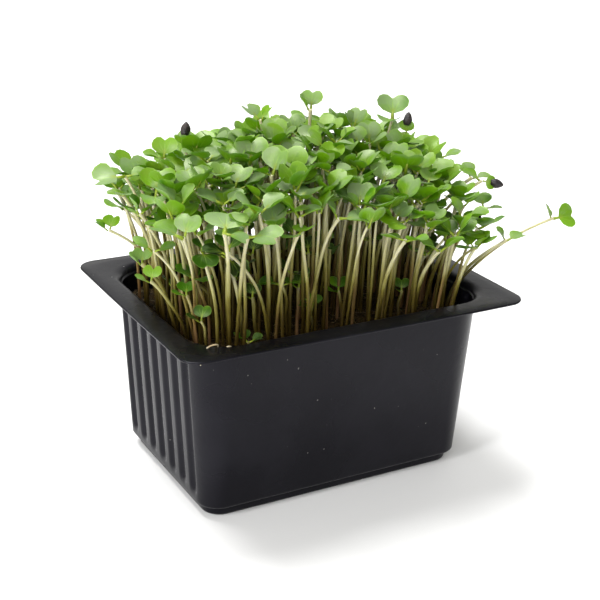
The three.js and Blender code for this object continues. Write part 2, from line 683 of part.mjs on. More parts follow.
// A split seed hull: an oval husk with a slot that grips the tip of one leaf.
function hullGeometry(sprout) {
  const held = sprout.leaves.find((one) => one.cup === 0);
  const { across, along, normal } = leafFrame(held);
  const profile = [];
  for (let i = 0; i <= HULL_STEPS; i++) {
    const angle = (Math.PI * i) / HULL_STEPS - Math.PI / 2;
    const radius = Math.max(0, HULL_RADIUS * Math.cos(angle));
    profile.push(new THREE.Vector2(radius, (HULL_LENGTH / 2) * Math.sin(angle)));
  }
  const husk = new THREE.LatheGeometry(profile, HULL_SIDES);
  const slotWidth = BLADE_THICKNESS + 2 * FIT;
  const slot = new THREE.BoxGeometry(3 * HULL_RADIUS, HULL_LENGTH, slotWidth);
  slot.translate(0, -HULL_LENGTH + HULL_GRIP + FIT, 0);
  const split = geometryOf(solidOf(husk).subtract(solidOf(slot)));
  const tip = (STALK_SHARE + BLADE_SHARE) * held.width;
  const middle = new THREE.Vector3(...sprout.top)
    .addScaledVector(outwardOf(held), STEM_HALF)
    .addScaledVector(along, tip - HULL_GRIP + HULL_LENGTH / 2);
  const frame = new THREE.Matrix4().makeBasis(across, along, normal).setPosition(middle);
  return split.applyMatrix4(frame);
}

const pottedCress = new THREE.Group();
function addPiece(name, geometry, material) {
  const mesh = new THREE.Mesh(geometry, material);
  mesh.name = name;
  pottedCress.add(mesh);
}

const random = seededRandom(SEED);
const places = tanglePlaces(random);
const sprouts = plantSprouts(places, random);

addPiece("tray", trayGeometry(), PLASTIC);

let medium = solidOf(mediumGeometry());
for (const place of places) {
  medium = medium.subtract(solidOf(tangleHole(place)));
}
addPiece("growing_medium", geometryOf(medium), PEAT);

places.forEach((place, tangle) => {
  const own = sprouts.filter((sprout) => sprout.tangle === tangle);
  const number = String(tangle + 1).padStart(2, "0");
  addPiece("sprout_clump_" + number, clumpGeometry(place, own), LEAF_GREEN);
});

sprouts
  .filter((sprout) => sprout.hull)
  .forEach((sprout, i) => addPiece("seed_hull_" + (i + 1), hullGeometry(sprout), HULL_BROWN));

export default pottedCress;
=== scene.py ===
# Potted broccoli cress. A small black thermoformed tray holds dark peaty medium, and in it stands a
# dense crop of sprouts, each a pale stem with two notched seed leaves. Lengths are in millimetres
# until a mesh is built, and MM turns them into metres.
import math
from collections import namedtuple

import bpy
import numpy as np
from mathutils import Matrix, Vector


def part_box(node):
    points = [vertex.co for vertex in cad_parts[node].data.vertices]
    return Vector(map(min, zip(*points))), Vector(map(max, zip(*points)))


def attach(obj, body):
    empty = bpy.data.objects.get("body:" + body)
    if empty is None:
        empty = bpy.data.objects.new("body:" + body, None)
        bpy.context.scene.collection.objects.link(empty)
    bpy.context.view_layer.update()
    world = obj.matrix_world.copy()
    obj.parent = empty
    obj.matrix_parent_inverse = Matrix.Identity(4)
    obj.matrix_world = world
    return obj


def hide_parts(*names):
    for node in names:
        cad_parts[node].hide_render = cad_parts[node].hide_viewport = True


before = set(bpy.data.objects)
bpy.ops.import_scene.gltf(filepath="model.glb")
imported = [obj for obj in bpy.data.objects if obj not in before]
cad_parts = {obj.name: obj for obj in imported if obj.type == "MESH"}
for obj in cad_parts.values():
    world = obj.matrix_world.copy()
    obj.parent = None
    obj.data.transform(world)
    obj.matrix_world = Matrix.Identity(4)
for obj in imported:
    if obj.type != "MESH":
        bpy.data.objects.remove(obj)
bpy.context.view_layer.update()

# Tray. One sheet of thin glossy black plastic, drawn warm over a mould in one piece: a flat flange,
# tapered walls with upright grooves in the short ones, a narrow ledge, and an inset foot to stand on.
MM = 0.001
tray_low, tray_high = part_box("tray")
TRAY_LENGTH, TRAY_WIDTH, TRAY_HEIGHT = (side / MM for side in tray_high - tray_low)
SHEET = 0.6
FLANGE_WIDTH = 5.2
FLANGE_CORNER = 5.1
FLANGE_EDGE = 0.22  # radius of the sheet's trimmed edge
FLANGE_SAG = 0.14  # how far the flange waves up and down
WAVE_X, WAVE_Y = (0.061, 0.6), (0.083, -0.4)  # radians for each millimetre, and where it starts
FLANGE_MIDDLE_CORNER = 8
MOUTH_CORNER = 11
MOUTH_FILLET = 1.6
WALL_TOP = TRAY_HEIGHT - 2  # where the wall runs into the mouth's fillet
TAPER_X, TAPER_Y = 3.5, 4
WALL_BULGE = 0.22
BULGE_POWER = 8  # keeps the bulge off the short walls
BOTTOM_CORNER = 5.5
FOOT_HEIGHT, FOOT_INSET, FOOT_CORNER, FOOT_ROUND = 2.8, 1.5, 4.8, 1
LEDGE_DROP = 0.5
FLUTE_PITCH, FLUTE_WIDTH, FLUTE_DEPTH = 6.4, 4.4, 1.1
FLUTE_BOTTOM, FLUTE_FULL, FLUTE_TOP = 4.9, 7.6, WALL_TOP - 0.6
FLUTE_FADE, FLUTE_RUNOUT = 2.2, 0.5  # a groove fades over the first, and ends the second past its top
FLUTE_SLOPE = 0.42  # share of a groove's width that each of its sides slopes over
OUTERMOST_FLUTE = 3  # grooves on each side of the middle one
FLUTE_POINTS = 14  # points across one pitch
CORNER_POINTS, CORNER_GAP = 12, 0.6  # the corner's first point is a gap past the grooves' last one
SIDE_POINTS, SIDE_SPAN = 7, 0.97  # points along half of a long side, and the share that they reach over
WALL_RINGS, FLUTE_END_RINGS, MOUTH_RINGS = 10, 6, 5
FILLET_STEPS, LIP_STEPS = 5, 3
PLASTIC_BLACK = (0.0030, 0.0029, 0.0045, 1)
PLASTIC_WORN = (0.0062, 0.0060, 0.0085, 1)
PLASTIC_SHEEN = (0.92, 0.90, 1.0, 1)
DUST = (0.17, 0.165, 0.155, 1)


def smooth_step(x):
    """0 below 0, 1 above 1, and an even curve between them."""
    x = np.clip(x, 0, 1)
    return x * x * (3 - 2 * x)


def groove(y):
    """How deep the grooves of a short wall are at a distance from its middle, from 0 to 1."""
    nearest = np.round(np.abs(y) / FLUTE_PITCH)
    off = np.abs(np.abs(y) - np.minimum(nearest, OUTERMOST_FLUTE) * FLUTE_PITCH)
    return smooth_step((FLUTE_WIDTH / 2 - off) / (FLUTE_SLOPE * FLUTE_WIDTH))


def tray_ring(z, inset, taper, corner, flute=0.0):
    """The tray's outline at a height, as points all round, counter-clockwise from above."""
    half_x = TRAY_LENGTH / 2 - inset - TAPER_X * taper
    half_y = TRAY_WIDTH / 2 - inset - TAPER_Y * taper
    straight = half_y - corner
    count = round((OUTERMOST_FLUTE + 0.5) * FLUTE_POINTS)
    y = (np.arange(count) + 0.5) * FLUTE_PITCH / FLUTE_POINTS
    past = np.maximum(0, y - straight)
    x = half_x - corner + np.sqrt(np.maximum(0, corner**2 - past**2)) - flute * groove(y)
    start = math.asin(min(1, max(0, (y[-1] + CORNER_GAP - straight) / corner)))
    angle = np.linspace(start, math.pi / 2, CORNER_POINTS)
    along = (SIDE_POINTS - 0.5 - np.arange(SIDE_POINTS)) / SIDE_POINTS * (half_x - corner) * SIDE_SPAN
    quarter_x = np.concatenate([x, half_x - corner + corner * np.cos(angle), along])
    quarter_y = np.concatenate([y, straight + corner * np.sin(angle), np.full(SIDE_POINTS, half_y)])
    bulge = WALL_BULGE * math.sin(math.pi * taper) * (1 - (quarter_x / half_x) ** 2)
    quarter_y = quarter_y + bulge * (quarter_y / half_y) ** BULGE_POWER
    ring_x = np.concatenate([quarter_x, -quarter_x[::-1], -quarter_x, quarter_x[::-1]])
    ring_y = np.concatenate([quarter_y, quarter_y[::-1], -quarter_y, -quarter_y[::-1]])
    return np.stack([ring_x, ring_y, np.full(len(ring_x), z)], axis=1)


def wall_ring(z, inward=0.0):
    """The wall at a height: its outer face, or its inner one a sheet further in."""
    down = (WALL_TOP - z) / WALL_TOP
    corner = MOUTH_CORNER + (BOTTOM_CORNER - MOUTH_CORNER) * down - inward
    low_end = smooth_step((z - FLUTE_BOTTOM) / (FLUTE_FULL - FLUTE_BOTTOM))
    high_end = smooth_step((FLUTE_TOP + FLUTE_RUNOUT - z) / FLUTE_FADE)
    flute = FLUTE_DEPTH * low_end * high_end
    return tray_ring(z, FLANGE_WIDTH + MOUTH_FILLET + inward, down, corner, flute)


def foot_ring(z, rounded_in, inward=0.0):
    """The foot at a height, with its edge rounded in by some of its radius."""
    inset = FLANGE_WIDTH + MOUTH_FILLET + FOOT_INSET + inward + rounded_in
    return tray_ring(z, inset, 1, FOOT_CORNER)


def flange_ring(z, inset, corner):
    """A ring of the flange, which waves a little, most at its outer edge."""
    ring = tray_ring(z, inset, 0, corner)
    wave = np.sin(WAVE_X[0] * ring[:, 0] + WAVE_X[1]) * np.cos(WAVE_Y[0] * ring[:, 1] + WAVE_Y[1])
    outermost = 1 - inset / FLANGE_WIDTH if inset < FLANGE_WIDTH else 0
    ring[:, 2] += FLANGE_SAG * wave * outermost - FLANGE_SAG
    ring[:, 2] = np.minimum(ring[:, 2], TRAY_HEIGHT)
    return ring


def skinned(name, rings):
    """Rings of points as one closed mesh, with a fan over the first ring and one over the last."""
    count = len(rings[0])
    points = np.concatenate(rings + [[rings[0].mean(axis=0)], [rings[-1].mean(axis=0)]])
    faces = []
    for ring in range(len(rings) - 1):
        for i in range(count):
            a, b = ring * count + i, ring * count + (i + 1) % count
            faces.append((a, b, b + count, a + count))
    last = (len(rings) - 1) * count
    for i in range(count):
        following = (i + 1) % count
        faces.append((len(points) - 2, following, i))
        faces.append((len(points) - 1, last + i, last + following))
    mesh = bpy.data.meshes.new(name)
    mesh.from_pydata((points * MM).tolist(), [], faces)
    mesh.shade_smooth()
    return mesh


def placed(name, data):
    """An object for a finished mesh, a light or a camera, at the origin."""
    piece = bpy.data.objects.new(name, data)
    bpy.context.scene.collection.objects.link(piece)
    return piece


def arc(steps):
    """Sines and cosines of a quarter turn, for a rounded edge."""
    return [(math.sin(a), math.cos(a)) for a in np.linspace(0, math.pi / 2, steps)]


def set_inputs(tree, node, inputs):
    """Links a node's inputs to other nodes, or sets a plain value on them."""
    for socket, value in inputs.items():
        if isinstance(value, bpy.types.NodeSocket):
            tree.links.new(value, node.inputs[socket])
        else:
            node.inputs[socket].default_value = value


def add_node(tree, kind, inputs=None, **settings):
    """A node with its settings and inputs."""
    node = tree.nodes.new(kind)
    for name, value in settings.items():
        setattr(node, name, value)
    set_inputs(tree, node, inputs or {})
    return node


def calculate(tree, operation, a, b=0.0, c=0.0):
    """The result of a Math node."""
    return add_node(tree, "ShaderNodeMath", {0: a, 1: b, 2: c}, operation=operation).outputs[0]


def times(tree, a, b):
    """One value multiplied by another."""
    return calculate(tree, "MULTIPLY", a, b)


def scaled(tree, value, factor, added):
    """A value multiplied by a factor, with something added to it."""
    return calculate(tree, "MULTIPLY_ADD", value, factor, added)


def colour_between(tree, share, first, second):
    """The first colour where the share is 0, the second where it is 1, and a mix in between."""
    return add_node(tree, "ShaderNodeMix", {0: share, 6: first, 7: second}, data_type="RGBA").outputs[2]


def between(tree, value, low, high):
    """0 at the low end, 1 at the high end, and an even curve between them."""
    return add_node(tree, "ShaderNodeMapRange", {
        "Value": value, "From Min": low, "From Max": high,
    }, interpolation_type="SMOOTHSTEP").outputs["Result"]


def mottle_group():
    """Soft patches, from 0 to 1, as dust, bloom and uneven colour lie on a surface."""
    group = bpy.data.node_groups.new("mottle", "ShaderNodeTree")
    for name, value in (("Scale", 100.0), ("Detail", 3.0), ("Low", 0.4), ("High", 0.6)):
        socket = group.interface.new_socket(name, in_out="INPUT", socket_type="NodeSocketFloat")
        socket.default_value = value
    group.interface.new_socket("Amount", in_out="OUTPUT", socket_type="NodeSocketFloat")
    given = group.nodes.new("NodeGroupInput")
    place = group.nodes.new("ShaderNodeTexCoord")
    noise = add_node(group, "ShaderNodeTexNoise", {
        "Vector": place.outputs["Object"], "Scale": given.outputs["Scale"], "Detail": given.outputs["Detail"],
    })
    amount = between(group, noise.outputs["Fac"], given.outputs["Low"], given.outputs["High"])
    add_node(group, "NodeGroupOutput", {"Amount": amount})
    return group


MOTTLE = mottle_group()


def mottle(tree, scale, low, high, detail=3.0):
    """The mottle group in a material. Its patches are 0 below the low noise and 1 above the high."""
    return add_node(tree, "ShaderNodeGroup", {
        "Scale": scale, "Low": low, "High": high, "Detail": detail,
    }, node_tree=MOTTLE).outputs["Amount"]


def bumped(tree, height, strength, distance):
    """A normal that a height tips, with the relief's depth in metres."""
    bump = add_node(tree, "ShaderNodeBump", {"Height": height, "Strength": strength, "Distance": distance})
    return bump.outputs["Normal"]


def new_material(name):
    """A material with its node tree and its shader."""
    material = bpy.data.materials.new(name)
    material.use_nodes = True
    tree = material.node_tree
    return material, tree, tree.nodes["Principled BSDF"]


def black_plastic():
    """Glossy black sheet with faint worn patches, specks of dust and a slight orange peel."""
    material, tree, shader = new_material("tray_plastic")
    haze = mottle(tree, scale=38, low=0.35, high=0.7)
    specks = mottle(tree, scale=1500, low=0.88, high=0.9, detail=0.0)
    orange_peel = mottle(tree, scale=420, low=0.2, high=0.8, detail=2.0)
    worn = colour_between(tree, haze, PLASTIC_BLACK, PLASTIC_WORN)
    set_inputs(tree, shader, {
        "Base Color": colour_between(tree, specks, worn, DUST),
        "Roughness": scaled(tree, specks, factor=0.3, added=scaled(tree, haze, factor=0.1, added=0.24)),
        "Specular IOR Level": 0.15,
        "Specular Tint": PLASTIC_SHEEN,
        "Normal": bumped(tree, orange_peel, strength=0.12, distance=0.0002),
    })
    return material


foot = [foot_ring(FOOT_ROUND * (1 - cosine), FOOT_ROUND * (1 - sine)) for sine, cosine in arc(FILLET_STEPS)]
ledge_z = FOOT_HEIGHT + LEDGE_DROP
# The foot turns into the ledge with a sharp bend, and the ledge into the wall with a rounder one.
ledge = [foot_ring(FOOT_HEIGHT - 0.4, 0), foot_ring(FOOT_HEIGHT, 0), foot_ring(FOOT_HEIGHT + 0.05, -0.2)]
wall_foot = wall_ring(ledge_z)
toe = [wall_foot * (1 - share) + foot_ring(FOOT_HEIGHT, 0) * share for share in (0.35, 0.12)]
wall_heights = np.concatenate([  # closer together where the grooves start and end
    [ledge_z + 0.25, ledge_z + 0.8],
    np.linspace(FLUTE_BOTTOM, FLUTE_FULL, FLUTE_END_RINGS),
    np.linspace(FLUTE_FULL + 3, FLUTE_TOP - 2, WALL_RINGS),
    np.linspace(FLUTE_TOP - 1.5, WALL_TOP - 0.2, MOUTH_RINGS),
])
outside = foot + ledge + toe + [wall_ring(z) for z in wall_heights]
for sine, cosine in arc(FILLET_STEPS):
    outside.append(flange_ring(
        WALL_TOP + (TRAY_HEIGHT - SHEET - WALL_TOP) * sine,
        FLANGE_WIDTH + MOUTH_FILLET * cosine,
        MOUTH_CORNER,
    ))
outside.append(flange_ring(TRAY_HEIGHT - SHEET, FLANGE_WIDTH / 2, FLANGE_MIDDLE_CORNER))
lip = [
    flange_ring(TRAY_HEIGHT - SHEET / 2 - (SHEET / 2) * cosine, FLANGE_EDGE * (1 - sine), FLANGE_CORNER)
    for sine, cosine in arc(LIP_STEPS)
]
lip += [
    flange_ring(TRAY_HEIGHT - SHEET / 2 + (SHEET / 2) * sine, FLANGE_EDGE * (1 - cosine), FLANGE_CORNER)
    for sine, cosine in arc(LIP_STEPS)[1:]
]
inside = [flange_ring(TRAY_HEIGHT, FLANGE_WIDTH / 2, FLANGE_MIDDLE_CORNER)]
inner_fillet = MOUTH_FILLET + SHEET
for sine, cosine in arc(FILLET_STEPS + 1):
    inside.append(flange_ring(
        TRAY_HEIGHT - inner_fillet * (1 - cosine),
        FLANGE_WIDTH + inner_fillet * sine,
        MOUTH_CORNER - SHEET * sine,
    ))
inside += [wall_ring(z, SHEET) for z in wall_heights[:1:-1]]
inside.append(wall_ring(ledge_z + SHEET, SHEET))
inside += [foot_ring(FOOT_HEIGHT, 0, SHEET), foot_ring(SHEET, FOOT_ROUND / 2, SHEET)]

tray = placed("cress_tray", skinned("cress_tray", outside + lip + inside))
tray.data.materials.append(black_plastic())
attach(tray, "root")
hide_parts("tray")

# Growing medium. Moist dark peat mixed with fine fibre, filled in loose and pressed level a few
# millimetres below the rim. It is crumbly on top, and short bits of root and fibre lie in it.
MEDIUM_TOP = 44.5
MEDIUM_HALF = (40, 29)
WALL_SINK = 1.8
HUMP, RIPPLE = 0.5, 0.35
MEDIUM_CORNER = 10
EDGE_DROP = 4  # from the top's middle to its edge
HEEL_INSET, HEEL_HEIGHT = (2.8, 3.1), 4.5  # where the medium leaves the wall for the ledge
FOOT_FILL_INSET, FOOT_FILL_HEIGHT = (5.1, 5.4), 4.2
SURFACE_POINTS = 208
SURFACE_RINGS = 34
CRUMB_RELIEF = 0.75
LUMP_SCALE, GRAIN_SCALE, GRAIN_SHARE = 300.0, 1100.0, 0.6  # noises of the crumbly top
CRUMB_MIDDLE, CRUMB_CONTRAST = 0.85, 3.0  # noise that stays level, and how steep it is from there
CRUMBLY_FROM = 41.5
CRUMBS_PER_SQUARE_METRE = 420000.0
FIBRES_PER_SQUARE_METRE = 62000.0
LITTER_FROM, LITTER_FACING = 38, 0.3  # height above which it lies, and how far a face there looks up
CRUMB_SIZE = (0.62, 0.45, 0.33)
CRUMB_UNEVEN = (1, 0.8, 1.15, 0.75, 1.05, 0.9, 1.2, 0.7, 1, 0.85, 1.1, 0.75)
FIBRE_HALF, FIBRE_RADIUS, FIBRE_POINTS = 2.6, 0.075, 8
PEAT_DARK = (0.0045, 0.0028, 0.0009, 1)
PEAT_LIGHT = (0.026, 0.016, 0.004, 1)
FIBRE_DARK = (0.045, 0.026, 0.008, 1)
FIBRE_LIGHT = (0.13, 0.09, 0.035, 1)


def soil_height(x, y):
    """Height of the medium's uneven top, which sinks along the walls."""
    to_wall = np.maximum(np.abs(x) / MEDIUM_HALF[0], np.abs(y) / MEDIUM_HALF[1])
    hump = HUMP * np.sin(0.31 * x + 1) * np.cos(0.27 * y)
    ripple = RIPPLE * np.sin(-0.2 * x + 0.53 * y)
    return MEDIUM_TOP + hump + ripple - WALL_SINK * to_wall**6


def rounded_ring(half_x, half_y, corner, z):
    """Points spread evenly by angle over a rectangle with round corners."""
    angle = (np.arange(SURFACE_POINTS) + 0.5) / SURFACE_POINTS * 2 * math.pi
    power = 2 / (2 + 1.4 * (half_x / corner))
    cosine, sine = np.cos(angle), np.sin(angle)
    x = half_x * np.sign(cosine) * np.abs(cosine) ** power
    y = half_y * np.sign(sine) * np.abs(sine) ** power
    return np.stack([x, y, np.full(SURFACE_POINTS, z) if np.isscalar(z) else z(x, y)], axis=1)


def node_tree(name, *things, **sizes):
    """A node tree for meshes, with a named input for each size, and for a shape or a material."""
    tree = bpy.data.node_groups.new(name, "GeometryNodeTree")
    tree.interface.new_socket("Geometry", in_out="INPUT", socket_type="NodeSocketGeometry")
    for label, value in sizes.items():
        kind = "NodeSocketInt" if isinstance(value, int) else "NodeSocketFloat"
        tree.interface.new_socket(label, in_out="INPUT", socket_type=kind).default_value = value
    for label in things:
        kind = "NodeSocketObject" if label == "Shape" else "NodeSocketMaterial"
        tree.interface.new_socket(label, in_out="INPUT", socket_type=kind)
    tree.interface.new_socket("Geometry", in_out="OUTPUT", socket_type="NodeSocketGeometry")
    return tree, tree.nodes.new("NodeGroupInput")


def finish_tree(tree, geometry, material):
    """Ends a tree: instances made real, shaded smooth and given their material."""
    real = add_node(tree, "GeometryNodeRealizeInstances", {"Geometry": geometry})
    shaded = add_node(tree, "GeometryNodeSetShadeSmooth", {"Geometry": real.outputs["Geometry"]})
    painted = add_node(tree, "GeometryNodeSetMaterial", {
        "Geometry": shaded.outputs["Geometry"], "Material": material,
    })
    add_node(tree, "NodeGroupOutput", {"Geometry": painted.outputs["Geometry"]})


def grown(name, mesh, tree, **sizes):
    """What a node tree makes of a mesh, as a plain piece with no modifier left on it."""
    base = placed(name + "_base", mesh)
    modifier = base.modifiers.new(tree.name, "NODES")
    modifier.node_group = tree
    for item in tree.interface.items_tree:
        if item.in_out == "INPUT" and item.name in sizes:
            modifier[item.identifier] = sizes[item.name]
    graph = bpy.context.evaluated_depsgraph_get()
    evaluated = base.evaluated_get(graph)
    made = bpy.data.meshes.new_from_object(evaluated, preserve_all_data_layers=True, depsgraph=graph)
    bpy.data.objects.remove(base)
    made.name = name
    return placed(name, made)


def upright_part(tree, vector):
    """How far a vector points up."""
    return add_node(tree, "ShaderNodeSeparateXYZ", {0: vector}).outputs["Z"]


def crumbly_tree():
    """Raises and lowers the top of the medium, in coarse lumps and fine grains."""
    tree, given = node_tree("crumbly top", "Peat", Relief=CRUMB_RELIEF * MM, Top=CRUMBLY_FROM * MM)
    position = tree.nodes.new("GeometryNodeInputPosition").outputs[0]
    lumps = add_node(tree, "ShaderNodeTexNoise", {"Vector": position, "Scale": LUMP_SCALE, "Detail": 2.0})
    grains = add_node(tree, "ShaderNodeTexNoise", {"Vector": position, "Scale": GRAIN_SCALE, "Detail": 2.0})
    both = scaled(tree, grains.outputs["Fac"], GRAIN_SHARE, lumps.outputs["Fac"])
    lift = times(tree, calculate(tree, "SUBTRACT", both, CRUMB_MIDDLE), CRUMB_CONTRAST)
    raised = times(tree, lift, given.outputs["Relief"])
    offset = add_node(tree, "ShaderNodeCombineXYZ", {"Z": raised}).outputs[0]
    on_top = calculate(tree, "GREATER_THAN", upright_part(tree, position), given.outputs["Top"])
    moved = add_node(tree, "GeometryNodeSetPosition", {
        "Geometry": given.outputs["Geometry"], "Selection": on_top, "Offset": offset,
    })
    finish_tree(tree, moved.outputs["Geometry"], given.outputs["Peat"])
    return tree


def scattered_tree(name, material_label):
    """Strews copies of a small shape over the faces that look up, turned and sized at random."""
    tree, given = node_tree(
        name, "Shape", material_label, Density=1000.0, Smallest=0.5, Largest=1.5, Tilt=3.1, Seed=1,
    )
    normal = tree.nodes.new("GeometryNodeInputNormal").outputs[0]
    position = tree.nodes.new("GeometryNodeInputPosition").outputs[0]
    looks_up = calculate(tree, "GREATER_THAN", upright_part(tree, normal), LITTER_FACING)
    lies_high = calculate(tree, "GREATER_THAN", upright_part(tree, position), LITTER_FROM * MM)
    points = add_node(tree, "GeometryNodeDistributePointsOnFaces", {
        "Mesh": given.outputs["Geometry"],
        "Selection": times(tree, looks_up, lies_high),
        "Density": given.outputs["Density"],
        "Seed": given.outputs["Seed"],
    })
    tilt = given.outputs["Tilt"]
    back = times(tree, tilt, -1.0)
    turn = add_node(tree, "FunctionNodeRandomValue", {
        0: add_node(tree, "ShaderNodeCombineXYZ", {"X": back, "Y": back}).outputs[0],
        1: add_node(tree, "ShaderNodeCombineXYZ", {"X": tilt, "Y": tilt, "Z": 2 * math.pi}).outputs[0],
        "Seed": given.outputs["Seed"],
    }, data_type="FLOAT_VECTOR")
    size = add_node(tree, "FunctionNodeRandomValue", {
        2: given.outputs["Smallest"], 3: given.outputs["Largest"],
    })
    shape = add_node(tree, "GeometryNodeObjectInfo", {"Object": given.outputs["Shape"]})
    rotation = add_node(tree, "FunctionNodeEulerToRotation", {0: turn.outputs[0]})
    copies = add_node(tree, "GeometryNodeInstanceOnPoints", {
        "Points": points.outputs["Points"],
        "Instance": shape.outputs["Geometry"],
        "Rotation": rotation.outputs[0],
        "Scale": size.outputs[1],
    })
    finish_tree(tree, copies.outputs["Instances"], given.outputs[material_label])
    return tree


def peat_material():
    """Moist dark peat in lighter and darker lumps, with fibrous grains."""
    material, tree, shader = new_material("peat")
    lumps = mottle(tree, scale=520, low=0.38, high=0.66)
    grains = mottle(tree, scale=2600, low=0.45, high=0.62, detail=1.0)
    dark = colour_between(tree, lumps, PEAT_DARK, PEAT_LIGHT)
    set_inputs(tree, shader, {
        "Base Color": colour_between(tree, grains, dark, FIBRE_DARK),
        "Roughness": scaled(tree, lumps, factor=0.3, added=0.6),
        "Specular IOR Level": 0.12,
        "Normal": bumped(tree, grains, strength=0.5, distance=0.0002),
    })
    return material


def fibre_material():
    """Dull tan fibre with darker streaks."""
    material, tree, shader = new_material("fibre")
    set_inputs(tree, shader, {
        "Base Color": colour_between(
            tree, mottle(tree, scale=160, low=0.35, high=0.65), FIBRE_DARK, FIBRE_LIGHT,
        ),
        "Roughness": 0.7,
        "Normal": bumped(
            tree, mottle(tree, scale=1800, low=0.4, high=0.6, detail=1.0), strength=0.3, distance=0.0001,
        ),
    })
    return material


def crumb_shape():
    """One angular crumb of peat: two points and two rings of five, each pulled out or in a little."""
    points = [(0, 0, -1)]
    for height, first_angle in ((-0.45, 36), (0.45, 72)):
        for corner in range(5):
            angle = math.radians(-first_angle - 72 * corner)
            points.append((round(0.894 * math.cos(angle), 2), round(0.894 * math.sin(angle), 2), height))
    points.append((0, 0, 1))
    steps = [(i, (i + 1) % 5) for i in range(5)]
    faces = [(0, 1 + b, 1 + a) for a, b in steps] + [(1 + a, 1 + b, 6 + a) for a, b in steps]
    faces += [(6 + a, 1 + b, 6 + b) for a, b in steps] + [(11, 6 + a, 6 + b) for a, b in steps]
    points = np.array(points) * np.array(CRUMB_UNEVEN)[:, None] * CRUMB_SIZE
    mesh = bpy.data.meshes.new("crumb")
    mesh.from_pydata((points * MM).tolist(), [], faces)
    return placed("crumb", mesh)


def strand(name, path, radii, sides):
    """A thin closed rod along a path, its rings turned square to the path."""
    path = np.array(path, float)
    tangents = np.gradient(path, axis=0)
    tangents /= np.linalg.norm(tangents, axis=1)[:, None]
    side = np.cross(tangents, (0.31, 0.12, 0.94))
    side /= np.linalg.norm(side, axis=1)[:, None]
    other = np.cross(tangents, side)
    angle = np.arange(sides) / sides * 2 * math.pi
    rings = [
        p + r * (np.outer(np.cos(angle), u) + np.outer(np.sin(angle), v))
        for p, r, u, v in zip(path, radii, side, other)
    ]
    return skinned(name, rings)


def fibre_shape():
    """A short bent fibre that lies on the surface."""
    along = np.linspace(-FIBRE_HALF, FIBRE_HALF, FIBRE_POINTS)
    path = np.stack([along, 0.5 * np.sin(along * 0.9), 0.32 + 0.16 * np.cos(along * 1.3)], axis=1)
    return placed("fibre", strand("fibre", path, np.full(FIBRE_POINTS, FIBRE_RADIUS), sides=4))


top_x, top_y = (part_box("growing_medium")[1][axis] / MM for axis in (0, 1))
foot_x, foot_y = top_x - FOOT_FILL_INSET[0], top_y - FOOT_FILL_INSET[1]
surface = [
    rounded_ring(foot_x, foot_y, BOTTOM_CORNER, SHEET + 0.3),
    rounded_ring(foot_x, foot_y, BOTTOM_CORNER, FOOT_FILL_HEIGHT),
    rounded_ring(top_x - HEEL_INSET[0], top_y - HEEL_INSET[1], MEDIUM_CORNER - 2, HEEL_HEIGHT),
    rounded_ring(top_x, top_y, MEDIUM_CORNER, MEDIUM_TOP - EDGE_DROP),
]
for share in np.linspace(1, 0.02, SURFACE_RINGS):
    surface.append(rounded_ring(top_x * share, top_y * share, MEDIUM_CORNER * share, soil_height))
peat = peat_material()
medium = grown(
    "cress_medium", skinned("cress_medium", surface), crumbly_tree(),
    Relief=CRUMB_RELIEF * MM, Top=CRUMBLY_FROM * MM, Peat=peat,
)
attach(medium, "root")
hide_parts("growing_medium")

crumb = crumb_shape()
crumbs = grown(
    "peat_crumbs", medium.data.copy(), scattered_tree("strewn crumbs", "Peat"),
    Density=CRUMBS_PER_SQUARE_METRE, Smallest=0.5, Largest=1.7, Tilt=3.1, Seed=4, Shape=crumb, Peat=peat,
)
fibre = fibre_shape()
fibres = grown(
    "peat_fibres", medium.data.copy(), scattered_tree("strewn fibres", "Fibre"),
    Density=FIBRES_PER_SQUARE_METRE, Smallest=0.5, Largest=1.3, Tilt=0.25, Seed=9, Shape=fibre,
    Fibre=fibre_material(),
)
for litter, shape in ((crumbs, crumb), (fibres, fibre)):
    bpy.data.objects.remove(shape)
    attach(litter, "root")

# Sprouts, where they stand. They are sown thick and grow in small tufts on shared tangles of roots,
# lean towards the light and spread outwards over the rim. The ones that stand out come first.
ROWS, COLUMNS, ROW_PITCH, COLUMN_PITCH, JITTER = 6, 8, 9.6, 10.4, 1.2
CORNER_TANGLE = (35.4, -18)
TANGLE_GAP = 7.5
CORNER_FROM, WALL_FROM = (33, 20), (37.4, 26)  # no tangle stands in a corner or against a wall
STEMS_PER_TANGLE, STEM_SPREAD, FIRST_STEM_ANGLE = 4, 1.05, 0.4
STEM_HALF, HALF_LEAF = 0.45, 0.3
STEM_BEND = (0.16, 0.68)
STEM_SHARES = np.arange(32) / 32
STALK_SHARE, BLADE_SHARE = 0.18, 0.66
HALF_BLADE = ((0.27, 1, 0.02), (0.5, 0.58, 0.14), (0.35, 0.12, 0.07))
MIRRORED_HALF = tuple((-x, y, z) for x, y, z in reversed(HALF_BLADE))
OUTLINE = np.array(((0, 0.82, -0.05),) + HALF_BLADE + MIRRORED_HALF) * (1, BLADE_SHARE, 1)
CLEARANCE = 1.4
LOW_STEM = 6  # stems on one tangle may touch this far up
CANOPY_HALF = (45, 28)
CROP_SPREAD = 1.14  # how far the crop spreads outwards, as a share of where it is rooted
TOP_JITTER = 3
LOWEST_TOP = 65
TURN_SWING, RISE_SWING, ROLL_SWING = 40, 50, 40
TRIES = 150
COARSE_STEP = 7  # a few of the points are tested first, because that is quicker
SEED = 71332

Leaf = namedtuple("Leaf", "turn rise width roll cup", defaults=(0, 1))
Sprout = namedtuple("Sprout", "foot top leaves tangle samples")

